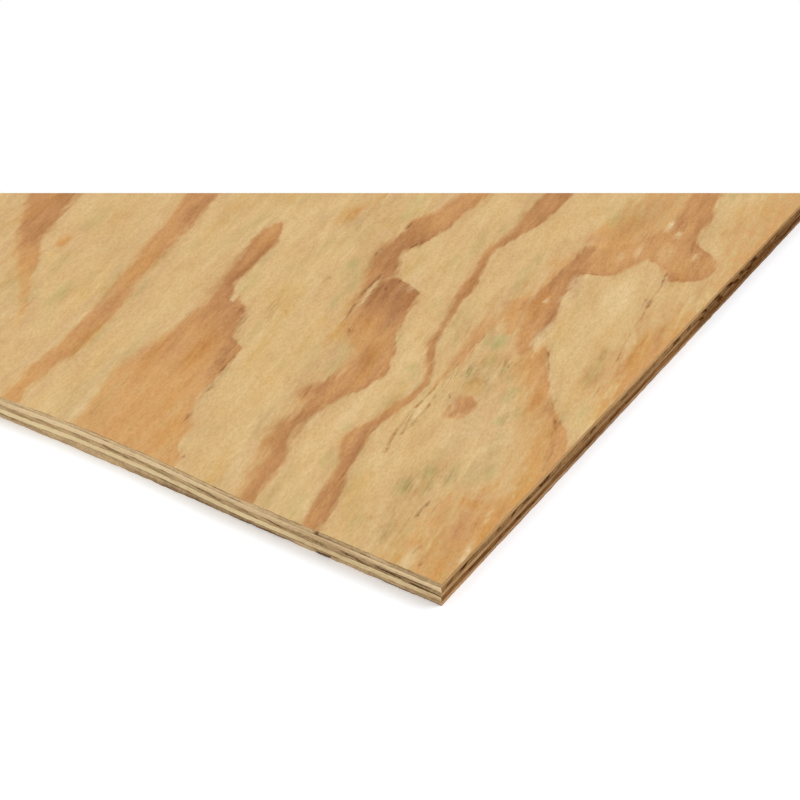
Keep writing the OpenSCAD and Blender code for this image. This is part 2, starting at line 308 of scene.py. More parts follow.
FACE_MARKS = {
    "green": (
        (68, 72, 14, 8, 0.60), (91, 66, 14, 7, 0.60), (76, 58, 16, 6, 0.40), (98, 52, 20, 6, 0.50),
        (112, 32, 16, 6, 0.60), (226, 98, 14, 7, 0.55), (140, 44, 26, 8, 0.30), (200, 116, 16, 4, 0.40),
        (104, 40, 20, 10, 0.35), (30, 47, 26, 6, 0.40), (24, 56, 20, 5, 0.40), (58, 32, 16, 5, 0.45),
        (166, 56, 9, 5, 0.85), (180, 50, 14, 7, 0.50), (196, 66, 18, 6, 0.60), (204, 64, 9, 5, 0.70),
        (214, 76, 10, 5, 0.60), (222, 84, 10, 4, 0.65), (206, 104, 14, 5, 0.55), (250, 106, 17, 9, 1.00),
        (246, 114, 12, 5, 0.70), (234, 122, 8, 4, 0.50), (262, 120, 20, 5, 0.45), (188, 142, 8, 5, 0.80),
        (182, 136, 10, 4, 0.55), (104, 141, 9, 4, 0.55), (66, 132, 14, 5, 0.45), (66, 124, 12, 4, 0.45),
        (84, 117, 9, 4, 0.40), (16, 120, 20, 6, 0.30), (36, 166, 9, 4, 0.60), (84, 182, 16, 4, 0.45),
        (160, 190, 24, 6, 0.45), (184, 196, 12, 8, 0.45), (166, 214, 24, 4, 0.30),
        (282, 256, 16, 7, 0.70), (272, 245, 18, 5, 0.60), (258, 240, 22, 7, 0.45),
        (232, 238, 20, 6, 0.50), (344, 138, 10, 4, 0.60), (330, 134, 20, 5, 0.45),
        (366, 138, 16, 5, 0.35), (370, 262, 18, 7, 0.50), (392, 266, 18, 8, 0.50),
        (360, 190, 36, 6, 0.35), (390, 184, 16, 4, 0.40), (250, 28, 26, 7, 0.45), (276, 33, 18, 4, 0.50),
        (206, 12, 14, 5, 0.40), (216, 308, 26, 8, 0.35), (250, 318, 26, 5, 0.35), (10, 288, 9, 8, 0.55),
        (8, 255, 6, 10, 0.35), (210, 388, 30, 5, 0.35), (160, 372, 30, 4, 0.40), (100, 358, 30, 4, 0.40),
        (125, 420, 30, 9, 0.50), (112, 438, 20, 8, 0.45), (230, 470, 30, 10, 0.40),
        (454, 116, 16, 9, 0.75), (470, 100, 44, 12, 0.40), (380, 262, 30, 8, 0.40),
        (270, 172, 16, 4, 0.35), (212, 170, 16, 4, 0.40), (240, 378, 20, 4, 0.35),
    ),
    # Pale marks: paler wood, and painted highlights on small bright specks in the bands
    "pale": (
        (146, 109, 26, 2.2, 0.50), (193, 305, 9, 2.2, 0.55), (252, 222.4, 36, 2.1, 0.52),
        (273, 207, 9, 2.0, 0.12), (266, 82, 12, 3.2, 0.50), (288, 85, 9, 2.0, 0.35),
        (318, 104, 6, 2.2, 0.75), (326, 96, 8, 2.6, 0.35), (352, 100, 16, 2.6, 0.45),
        (340, 120, 44, 2.6, 0.40), (405, 86, 12, 3, 0.35), (420, 78, 18, 4, 0.30),
        (428, 58, 22, 10, 0.18), (469, 74.5, 14, 3.2, 0.85), (459, 62.5, 9, 2.8, 0.65),
        (8, 29.5, 20, 5.5, 0.58), (32, 2, 22, 2.4, 0.62), (74, 10, 15, 1.5, 0.50),
        (314, 230, 9, 2.0, 0.35), (436, 37, 9, 2.6, 0.50), (150, 70, 30, 12, 0.22),
        (132, 76, 20, 8, 0.20), (118, 148, 40, 8, 0.22), (278, 200, 9, 5, 0.22), (300, 207, 24, 6, 0.20),
        (30, 178, 30, 8, 0.20), (118, 233, 30, 5, 0.20), (205, 152, 24, 5, 0.20), (110, 120, 16, 3, 0.30),
        (230, 142, 20, 4, 0.22), (96, 164, 18, 3, 0.30), (14, 310, 16, 5, 0.25), (300, 60, 40, 16, 0.15),
        (350, 60, 44, 18, 0.40), (236, 300, 40, 12, 0.12),
    ),
    "dark": (
        (72, 70, 24, 12, 0.36), (90, 66, 16, 9, 0.36), (92, 52, 16, 5, 0.30), (60, 44, 14, 4, 0.30),
        (30, 58, 22, 6, 0.30), (98, 1, 4, 2.4, 0.90), (16, 23, 4, 2.6, 0.60), (30, 72, 4, 2.6, 0.60),
        (150, 8, 24, 4, 0.45), (180, 20, 18, 4.5, 0.55), (204, 36, 18, 4, 0.40), (236, 56, 24, 4, 0.30),
        (206, 103, 20, 9, 0.65), (224, 86, 18, 8, 0.60), (208, 92, 14, 6, 0.40), (192, 99, 10, 4, 0.40),
        (196, 112, 30, 5, 0.50), (236, 116, 26, 6, 0.40), (156, 87, 9, 6, 0.40), (124, 108, 34, 5, 0.50),
        (200, 205, 12, 5, 0.50), (222, 219, 24, 4.5, 0.50), (266, 222, 22, 5, 0.55),
        (280, 206, 6, 9, 0.50), (312, 236, 24, 5, 0.35), (340, 230, 18, 4.5, 0.45),
        (356, 249, 16, 5, 0.50), (350, 240, 20, 8, 0.25), (184, 291, 9, 8, 0.50), (166, 279, 18, 5, 0.50),
        (180, 306, 18, 6, 0.35), (130, 264, 26, 6, 0.40), (84, 249, 18, 4, 0.40), (48, 240, 16, 4, 0.40),
        (12, 222, 12, 9, 0.35), (20, 300, 20, 6, 0.35), (70, 306, 34, 6, 0.25), (124, 190, 14, 7, 0.50),
        (146, 184, 18, 4.5, 0.40), (98, 175, 20, 5, 0.45), (52, 170, 12, 4, 0.40),
        (168, 158, 22, 4.5, 0.40), (30, 108, 26, 5, 0.45), (58, 112, 20, 4, 0.40),
        (254, 261, 7, 2.6, 0.45), (226, 237, 9, 2.6, 0.45), (337, 197, 5, 2.6, 0.50),
        (176, 235, 4, 2.6, 0.40), (200, 274, 16, 5, 0.50), (186, 266, 14, 4, 0.40),
        (356, 38, 14, 7, 0.35), (394, 40, 16, 9, 0.40), (480, 35, 7, 2.8, 0.60), (300, 160, 30, 4, 0.30),
        (220, 144, 22, 4, 0.35), (340, 112, 34, 5, 0.35), (300, 92, 26, 5, 0.35), (370, 100, 8, 12, 0.25),
        (120, 46, 26, 5, 0.20), (170, 54, 14, 5, 0.30), (198, 64, 14, 5, 0.35), (100, 434, 20, 9, 0.35),
        (126, 420, 20, 6, 0.35), (180, 388, 26, 5, 0.30), (90, 362, 30, 4, 0.35),
        (160, 372, 26, 3.5, 0.35), (196, 500, 26, 9, 0.30), (280, 410, 30, 6, 0.30),
        (388, 88, 14, 6, 0.40), (440, 84, 18, 4, 0.45), (424, 30, 22, 10, 0.30), (446, 44, 18, 5, 0.40),
        (440, 76, 34, 7, 0.30), (420, 42, 20, 8, 0.25), (470, 66, 30, 6, 0.35), (420, 170, 34, 5, 0.30),
    ),
    "gold": (
        (12, 8, 40, 8, 0.60), (62, 4, 50, 6, 0.90), (120, 7, 44, 8, 1.00), (6, 37, 14, 5, 0.70),
        (78, 24, 7, 14, 0.70), (28, 28, 10, 5, 0.50), (160, 20, 40, 9, 0.50), (196, 46, 30, 10, 0.45),
        (236, 72, 30, 9, 0.50), (216, 4, 34, 7, 0.60), (292, 13, 44, 9, 1.00), (340, 6, 40, 8, 0.60),
        (250, 8, 40, 7, 0.60), (310, 106, 34, 9, 0.70), (286, 118, 24, 7, 0.30), (226, 100, 18, 10, 0.50),
        (192, 92, 18, 11, 0.75), (188, 108, 14, 8, 0.40), (196, 212, 26, 9, 0.75),
        (190, 176, 26, 8, 0.70), (220, 200, 20, 12, 0.45), (170, 168, 30, 7, 0.45),
        (60, 176, 20, 6, 0.45), (40, 270, 50, 16, 0.25), (30, 240, 30, 12, 0.60),
        (120, 282, 44, 12, 0.75), (100, 308, 40, 8, 0.50), (62, 262, 40, 9, 0.40),
        (150, 248, 40, 9, 0.40), (196, 262, 30, 10, 0.70), (226, 270, 26, 8, 0.45),
        (176, 226, 30, 8, 0.35), (120, 214, 50, 8, 0.25), (252, 261, 12, 3, 0.45),
        (345, 299, 26, 6, 0.45), (300, 216, 26, 5, 0.45), (330, 128, 40, 6, 0.50),
        (372, 128, 24, 5, 0.55), (150, 131, 30, 3, 0.50), (90, 136, 16, 3, 0.45), (260, 60, 26, 7, 0.20),
        (190, 392, 40, 9, 0.45), (90, 362, 40, 8, 0.60), (130, 470, 40, 8, 0.40),
        (440, 100, 50, 16, 0.35), (440, 226, 50, 10, 0.35), (60, 336, 40, 9, 0.25), (20, 18, 26, 6, 0.40),
        (360, 180, 40, 4, 0.40),
    ),
    "rose": (
        (168, 87, 16, 11, 1.00), (154, 88, 9, 5, 0.40), (178, 297, 22, 9, 0.60), (180, 286, 14, 5, 0.50),
        (136, 266, 26, 7, 0.50), (70, 242, 34, 6, 0.45), (100, 250, 24, 4, 0.40), (54, 230, 26, 4, 0.40),
        (262, 206, 24, 12, 0.45), (240, 190, 28, 7, 0.55), (288, 198, 14, 8, 0.50),
        (24, 102, 34, 6, 0.45), (52, 18, 34, 11, 0.55), (30, 12, 24, 8, 0.35), (40, 158, 34, 6, 0.35),
        (160, 158, 30, 5, 0.50), (134, 186, 24, 8, 0.45), (326, 242, 34, 7, 0.45), (346, 92, 30, 8, 0.70),
        (276, 84, 30, 6, 0.75), (314, 90, 26, 5, 0.55), (370, 86, 14, 9, 0.50), (395, 40, 16, 6, 0.60),
        (352, 38, 18, 5, 0.45), (380, 168, 30, 6, 0.40), (12, 314, 24, 6, 0.45), (40, 320, 30, 5, 0.35),
        (204, 316, 26, 5, 0.40), (250, 336, 40, 6, 0.40), (204, 92, 22, 12, 0.35),
        (216, 114, 24, 6, 0.50), (232, 90, 16, 10, 0.40), (70, 54, 30, 6, 0.35), (190, 50, 30, 6, 0.30),
        (236, 58, 26, 5, 0.35), (90, 98, 30, 4, 0.30), (200, 510, 40, 12, 0.40), (270, 412, 40, 8, 0.40),
        (350, 112, 34, 6, 0.30), (300, 190, 30, 5, 0.25), (226, 292, 30, 10, 0.25),
    ),
    "tan": (
        (170, 87, 14, 10, 0.50), (345, 299, 26, 6, 0.60), (76, 62, 54, 26, 0.45), (46, 18, 60, 22, 0.30),
        (206, 96, 44, 22, 0.60), (176, 100, 30, 16, 0.30), (460, 106, 60, 18, 0.55),
        (330, 14, 34, 9, 0.40), (430, 40, 24, 18, 0.25), (480, 96, 50, 14, 0.40), (30, 62, 44, 16, 0.35),
        (266, 32, 60, 12, 0.25), (350, 284, 60, 30, 0.40), (330, 132, 60, 9, 0.45),
        (196, 262, 40, 16, 0.35), (240, 262, 40, 12, 0.25), (346, 90, 34, 12, 0.35),
        (276, 84, 30, 6, 0.55), (395, 34, 20, 10, 0.35), (390, 176, 40, 8, 0.25), (300, 210, 40, 8, 0.20),
        (150, 206, 40, 8, 0.25), (128, 207, 9, 2.4, 0.45), (168, 200, 30, 7, 0.25),
        (60, 190, 40, 8, 0.15), (230, 440, 60, 20, 0.20), (460, 190, 60, 14, 0.25),
        (330, 390, 80, 24, 0.15), (110, 110, 20, 6, 0.20),
    ),
}
# The vertex attributes that carry the marks, three kinds each
MARK_CARRIERS = {"tints": ("green", "pale", "dark"), "hues": ("gold", "rose", "tan")}
# The share of a mark over which it fades out
MARK_FADE = 0.7

# How far the grain of the face is turned from the long edge
GRAIN_TILT = math.radians(11)

# Where the drawn corner gives way to the rings of the open sheet: how far along and across it holds,
# in metres, how those limits slant, and how long the change takes
DRAWN_ENDS = (0.61, 0.38)
DRAWN_SLANT = 0.654
DRAWN_FLARE = 0.9
DRAWN_FADE = 0.20

# The row of the picture at which the sheet is cropped, from the top, and the rows in the whole picture
CROP_ROW = 193
PICTURE_ROWS = 800

# White as it is read off a screen
SCREEN_WHITE = 255


def screen(*parts):
    """A colour as it is read off a screen, red, green and blue from 0 to 255, as fractions."""
    return tuple(part / SCREEN_WHITE for part in parts)


def light(colour):
    """The light that a shader wants for a screen colour."""
    return (*Color(colour).from_srgb_to_scene_linear(), 1.0)


def eased(share):
    """A share from 0 to 1 that starts and ends gently."""
    return share * share * (3 - 2 * share)


class Socket:
    """An output of a node. Arithmetic on it adds Math nodes."""

    def __init__(self, graph, output):
        self.graph = graph
        self.output = output

    def math(self, operation, *others):
        return self.graph.math(operation, self, *others)

    def __add__(self, other):
        return self.math("ADD", other)

    __radd__ = __add__

    def __sub__(self, other):
        return self.math("SUBTRACT", other)

    def __rsub__(self, other):
        return self.graph.math("SUBTRACT", other, self)

    def __mul__(self, other):
        return self.math("MULTIPLY", other)

    __rmul__ = __mul__

    def __truediv__(self, other):
        return self.math("DIVIDE", other)

    def __rtruediv__(self, other):
        return self.graph.math("DIVIDE", other, self)

    def lesser(self, other):
        return self.math("MINIMUM", other)

    def greater(self, other):
        return self.math("MAXIMUM", other)

    def blended(self, other, distance):
        return self.math("SMOOTH_MAX", other, distance)

    def fraction(self):
        return self.math("FRACT")

    def rise(self, start, end, height=1.0):
        """0 before start, the height after end, smooth between them."""
        return self.graph.node(
            "ShaderNodeMapRange",
            {"interpolation_type": "SMOOTHSTEP"},
            {"Value": self, "From Min": start, "From Max": end, "To Max": height},
        )


def set_stops(ramp, stops):
    """Gives a colour ramp its stops: places from 0 to 1 and screen colours."""
    while len(ramp.elements) > 1:
        ramp.elements.remove(ramp.elements[-1])
    for index, (place, colour) in enumerate(stops):
        element = ramp.elements[0] if index == 0 else ramp.elements.new(place)
        element.position = place
        element.color = light(colour)


def set_curves(mapping, lines):
    """Gives the curves of a node their points, a list of points for each curve."""
    mapping.use_clip = False
    mapping.extend = "HORIZONTAL"
    for curve, line in zip(mapping.curves, lines):
        curve.points[0].location = line[0]
        curve.points[-1].location = line[-1]
        for point in line[1:-1]:
            curve.points.new(*point)
        for point in curve.points:
            point.handle_type = "AUTO_CLAMPED"
    mapping.update()


# A kind of noise: the size of its lumps in millimetres, what it adds to a seed, its detail and roughness
Lumps = namedtuple("Lumps", "size seed detail roughness", defaults=(2.0, 0.5))
# How far noise is shifted along each axis for each step of its seed, and the middle of its range
SEED_SHIFT = (7.31, 3.77, 5.13)
NOISE_MIDDLE = 0.5

# A surface: its roughness, the depth of its relief in millimetres, and how glossy it is
Surface = namedtuple("Surface", "roughness relief gloss", defaults=(0.0,))

# The places of a Mix node's sockets
MIX_FACTOR = 0
MIX_NUMBERS = (2, 3)
MIX_COLOURS = (6, 7)
MIXED_COLOUR = 2


class Graph:
    """The nodes of one material or world, added in the order in which they are worked out."""

    def __init__(self, owner):
        owner.use_nodes = True
        self.owner = owner
        self.tree = owner.node_tree
        self.tree.nodes.clear()

    def node(self, kind, settings=None, sockets=None, output=0):
        """Adds a node, sets it up, fills or links its sockets, and returns one of its outputs."""
        node = self.tree.nodes.new(kind)
        for name, value in (settings or {}).items():
            if name == "stops":
                set_stops(node.color_ramp, value)
            elif name == "curves":
                set_curves(node.mapping, value)
            else:
                setattr(node, name, value)
        for name, value in (sockets or {}).items():
            if isinstance(value, Socket):
                self.tree.links.new(value.output, node.inputs[name])
            else:
                node.inputs[name].default_value = value
        return Socket(self, node.outputs[output]) if node.outputs else None

    def math(self, operation, *values):
        return self.node("ShaderNodeMath", {"operation": operation}, dict(enumerate(values)))

    def vector(self, operation, *values):
        return self.node("ShaderNodeVectorMath", {"operation": operation}, dict(enumerate(values)))

    def mix(self, factor, first, second):
        """A colour between two others."""
        sockets = {MIX_FACTOR: factor, MIX_COLOURS[0]: first, MIX_COLOURS[1]: second}
        return self.node("ShaderNodeMix", {"data_type": "RGBA"}, sockets, output=MIXED_COLOUR)

    def parts(self, vector):
        separate = self.node("ShaderNodeSeparateXYZ", {}, {0: vector})
        outputs = separate.output.node.outputs
        return [Socket(self, output) for output in outputs]

    def from_corner(self):
        """The place on the sheet, in metres from its left front corner."""
        place = self.node("ShaderNodeTexCoord", {}, {}, output="Object")
        return self.vector("SUBTRACT", place, tuple(CORNER))

    def turned(self, vector, angle):
        sockets = {"Vector": vector, "Rotation": (0, 0, angle)}
        return self.node("ShaderNodeMapping", {"vector_type": "POINT"}, sockets)

    def noise(self, vector, lumps, seed=0):
        """Noise about 0, made of the given lumps."""
        shrink = tuple(1 / (side * MM) for side in lumps.size)
        shift = tuple((seed + lumps.seed) * step for step in SEED_SHIFT)
        moved = self.vector("MULTIPLY_ADD", vector, shrink, shift)
        sockets = {"Vector": moved, "Scale": 1.0, "Detail": lumps.detail, "Roughness": lumps.roughness}
        return self.node("ShaderNodeTexNoise", {}, sockets) - NOISE_MIDDLE

    def noises(self, vector, kinds, seed):
        """Several kinds of noise, by name."""
        return {name: self.noise(vector, lumps, seed) for name, lumps in kinds.items()}

    def painted(self, name):
        """The three values of a vertex attribute."""
        return self.parts(self.node("ShaderNodeAttribute", {"attribute_name": name}, {}, output="Vector"))

    def tinted(self, colour, factor, tint):
        """A colour with some of its light taken away or changed by a tint."""
        return self.mix(factor, colour, self.vector("MULTIPLY", colour, tuple(tint)))

    def finish(self, colour, height, surface, unevenness=0.0):
        """The surface, whose roughness may be uneven, and the material that holds it."""
        relief = {"Strength": 1.0, "Distance": surface.relief * MM, "Height": height}
        shader = self.node("ShaderNodeBsdfPrincipled", {}, {
            "Base Color": colour,
            "Roughness": surface.roughness + unevenness,
            "Specular IOR Level": surface.gloss,
            "Normal": self.node("ShaderNodeBump", {}, relief),
        })
        self.node("ShaderNodeOutputMaterial", {}, {"Surface": shader})
        return self.owner


def summed(noises, weights):
    """The sum of some kinds of noise, each with its weight."""
    return sum(noises[name] * weight for name, weight in weights.items())


def stroke_rows(strokes):
    """The rows of a hairline that shows only where there are strokes."""
    rows = []
    for numbers in strokes:
        stroke = Stroke(*numbers)
        span = stroke.end - stroke.start
        tip = min(LONGEST_TIP, TIP_SHARE * span)
        slope = (stroke.end_across - stroke.start_across) / span
        rows += (
            (stroke.start - STROKE_GAP, stroke.start_across, CLEAR_OF_STROKE),
            (stroke.start, stroke.start_across, CLEAR_OF_STROKE),
            (stroke.start + tip, stroke.start_across + slope * tip, stroke.half_width),
            (stroke.end - tip, stroke.end_across - slope * tip, stroke.half_width),
            (stroke.end, stroke.end_across, CLEAR_OF_STROKE),
            (stroke.end + STROKE_GAP, stroke.end_across, CLEAR_OF_STROKE),
        )
    return rows


def lines_cover(graph, along, across, lines):
    """How strongly three hairlines darken each place."""
    middles = [[(row[0] * MM, row[1] * MM) for row in line] for line in lines]
    halves = [[(row[0] * MM, row[2] * MM) for row in line] for line in lines]
    middle = graph.node("ShaderNodeVectorCurve", {"curves": middles}, {"Vector": along})
    half = graph.node("ShaderNodeVectorCurve", {"curves": halves}, {"Vector": along})
    away = graph.vector("ABSOLUTE", graph.vector("SUBTRACT", across, middle))
    first, second, third = graph.parts(graph.vector("SUBTRACT", half, away))
    return first.greater(second).greater(third).rise(*LINE_FADE)


# Kinds of noise in peeled pine, along its grain, with those of torn fibres and of the drawn corner's end
PINE_NOISES = {
    "fibre": Lumps((30, 1.4, 30), 13, 2.0, 0.6),
    "blotch": Lumps((52, 20, 52), 14),
    "stipple": Lumps((9, 3.4, 9), 15, 2.0, 0.6),
    "cloud": Lumps((60, 24, 60), 16),
    "grit": Lumps((3.6, 1.6, 3.6), 18, 1.0, 0.6),
    "streak": Lumps((34, 6.0, 34), 19, 3.0, 0.62),
    "hue": Lumps((60, 24, 60), 20, 2.5, 0.6),
    "fleck": Lumps((6.0, 2.6, 6.0), 21, 2.0, 0.6),
}
TORN_FIBRES = Lumps((15, 1.5, 15), 22, 2.0, 0.6)
UNEVEN_END = Lumps((200, 50, 200), 4, 1.0)

# The rings of the open sheet: the noises that bend them, their pitch, how far they wander and ripple,
# where in a ring the latewood starts, how sharply it rises and ends, its depth, and how firmly
# the drawn corner holds them off
RING_NOISES = {
    "wander": Lumps((760, 230, 900), 0, 1.5),
    "ripple": Lumps((190, 60, 900), 1, 3.0),
    "opening": Lumps((420, 110, 900), 2, 1.0),
    "depth": Lumps((260, 70, 900), 3),
}
RING_PITCH = 82 * MM
RING_BENDS = {"wander": 4.6, "ripple": 1.3}
LATEWOOD_START = 0.60
LATEWOOD_STRAY = 0.9
LATEWOOD_RISE = 0.13
LATEWOOD_END = 0.035
RING_DEPTH = 0.78
RING_DEPTH_STRAY = 0.8
RINGS_HELD_OFF = 3.4

# The drawn bands: how ragged and how soft their sides are, how soft at least, how much softer and paler they
# are towards the far side, how they darken inside the near side and over what levels, where a band starts
# to show, how far two tones blend, the halo outside a band, the least cover that a tone is divided by,
# and how firmly bands end past the drawn corner
RAGGED_SIDES = {"stipple": 4.4, "streak": 4.0, "fibre": 2.2, "grit": 1.6}
SOFTNESS = 1.7
SOFTNESS_STRAY = 5.6
LEAST_SOFTNESS = 0.85
FAR_SOFTNESS = 0.7
FAR_PALENESS = 0.07
NEAR_DARKNESS = 0.13
FAR_DARKNESS = 0.08
DARK_SIDE_FADE = (0.3, 4.5)
MAIN_FADE = (-1.0, 1.1)
OVER_FADE = (-1.0, 1.0)
TONE_BLEND = 0.08
HALO_RISE = (-4.0, -1.4)
HALO_END = (-1.4, 0.2)
LEAST_COVER = 0.02
BANDS_HELD_OFF = 4

# The colours of pine from the palest earlywood to the darkest latewood, each with its tone
PINE_STOPS = (
    (0.00, screen(225, 193, 140)),
    (0.12, screen(217, 182, 127)),
    (0.36, screen(208, 168, 112)),
    (0.58, screen(211, 161, 103)),
    (0.76, screen(203, 151, 96)),
    (0.90, screen(193, 140, 89)),
    (1.05, screen(181, 129, 81)),
    (1.30, screen(156, 103, 62)),
)
# The tone of the last of them, the tone of plain earlywood, what a depth of 1 adds to it, and how noise
# shades both kinds of wood
FULL_TONE = PINE_STOPS[-1][0]
EARLYWOOD = 0.17
LATEWOOD = 0.90
EARLY_SHADES = {"blotch": 0.32, "streak": 0.40, "stipple": 0.30, "fibre": 0.16}
LATE_SHADES = {"blotch": 0.32, "streak": 0.60, "stipple": 0.30, "fibre": 0.12}

# Patches of other hues: the levels of noise between which each rises, and its strength there
GOLD_PATCHES = (0.02, 0.24, 0.50)
ROSE_PATCHES = (0.02, 0.24, 0.40)
GREEN_PATCHES = (0.02, 0.26, 0.45)
DULL_PATCHES = (0.05, 0.30, 0.30)
# How pink a band's halo is, and how streaks and stipples break up the patches
HALO_ROSE = 0.45
BROKEN_HUES = {"streak": 2.2, "stipple": 2.0}
# Sap stain: its broken clouds, how much of a mark is in the clouds and under them, and how much
# of it latewood takes away
STAIN_CLOUDS = {"stipple": 1.0, "streak": 0.8, "grit": 0.7}
STAIN_FADE = (-0.14, 0.20)
STAIN_IN_CLOUDS = 0.6
STAIN_GROUND = 0.52
STAIN_LOST_ON_LATEWOOD = 0.6
# How stipples break up the pale marks
BROKEN_PALE = 2.0

# Fine light and dark: the noises in it, how much the light of each colour changes for an equal change
# on the screen, how a fleck changes it, and the dark fibres, specks, checks and strokes
FINE_LIGHT = {"stipple": 0.24, "fibre": 0.14, "grit": 0.44}
EVEN_LIGHT = (0.80, 1.00, 1.45)
FLECK_LIGHT = (-0.05, 0.06, -0.05)
WHITE = (1.0, 1.0, 1.0)
DULL_FIBRES = (0.10, 0.30, 0.42)
SPECKS = (0.19, 0.29, 0.26)
TORN_FADE = (-0.05, 0.20)
WAVY_LINES = {"stipple": 3.0 * MM, "streak": 2.0 * MM}
CHECK_STRENGTH = 0.66
BROKEN_CHECKS = {"stipple": 2.6, "grit": 2.4}
STROKE_STRENGTH = 0.56
BROKEN_STROKES = {"stipple": 2.0, "grit": 1.0}

# The surface of peeled pine, how uneven its roughness is, and what stands out in its relief
PINE_SURFACE = Surface(0.62, 0.14, 0.06)
PINE_UNEVENNESS = 0.2
PINE_RELIEF = {"fibre": 1.0, "grit": 0.5}


def corner_hold(graph, grain, x, y, seed):
    """1 in the drawn corner, falling to 0 where the rings of the open sheet take over."""
    along, across = DRAWN_ENDS
    uneven = graph.noise(grain, UNEVEN_END, seed)
    ahead = (x + y * DRAWN_SLANT + uneven * DRAWN_FADE).rise(along, along + DRAWN_FADE)
    beside = (y - x * DRAWN_FLARE).rise(across, across + DRAWN_FADE)
    return (1 - ahead) * (1 - beside)


def ring_figure(graph, grain, seed, hold):
    """Latewood of the open sheet: the rings that a peeled veneer cuts through, level by level."""
    across = graph.parts(grain)[1]
    noises = graph.noises(grain, RING_NOISES, seed)
    ring = (across / RING_PITCH + summed(noises, RING_BENDS)).fraction()
    start = LATEWOOD_START - noises["opening"] * LATEWOOD_STRAY
    inside = ((ring - start) / LATEWOOD_RISE).lesser((1 - ring) / LATEWOOD_END)
    cover = (inside - hold * RINGS_HELD_OFF).rise(0.0, 1.0)
    return cover, noises["depth"] * RING_DEPTH_STRAY + RING_DEPTH


def drawn_figure(graph, wood, hold, ring_cover, ring_depth):
    """Latewood of the drawn corner with the rings beyond it, and the halo of its bands.
    The levels and depths of the bands are on the vertices of the grid."""
    main_level, main_depth, share = graph.painted("main_band")
    over_level, over_depth, _ = graph.painted("over_band")
    ragged = summed(wood, RAGGED_SIDES)
    softness = (wood["blotch"] * SOFTNESS_STRAY + SOFTNESS).greater(LEAST_SOFTNESS)
    taper = (1 - hold) * BANDS_HELD_OFF
    main_level = (main_level + ragged) / (softness * (1 + share * FAR_SOFTNESS)) - taper
    over_level = (over_level + ragged) / softness - taper
    dark_side = (1 - main_level.rise(*DARK_SIDE_FADE)) * (NEAR_DARKNESS - share * FAR_DARKNESS)
    main_depth = main_depth - share * FAR_PALENESS + dark_side
    main = main_level.rise(*MAIN_FADE)
    over = over_level.rise(*OVER_FADE)
    cover = main.greater(over).greater(ring_cover)
    tone = (main * main_depth).blended(over * over_depth, TONE_BLEND)
    tone = tone.blended(ring_cover * ring_depth, TONE_BLEND)
    halo = main_level.rise(*HALO_RISE) * (1 - main_level.rise(*HALO_END))
    return cover, tone / cover.greater(LEAST_COVER), halo


def wood_colour(graph, tone):
    """The colour of pine of one tone."""
    stops = [(stop / FULL_TONE, colour) for stop, colour in PINE_STOPS]
    return graph.node("ShaderNodeValToRGB", {"stops": stops}, {0: tone / FULL_TONE})


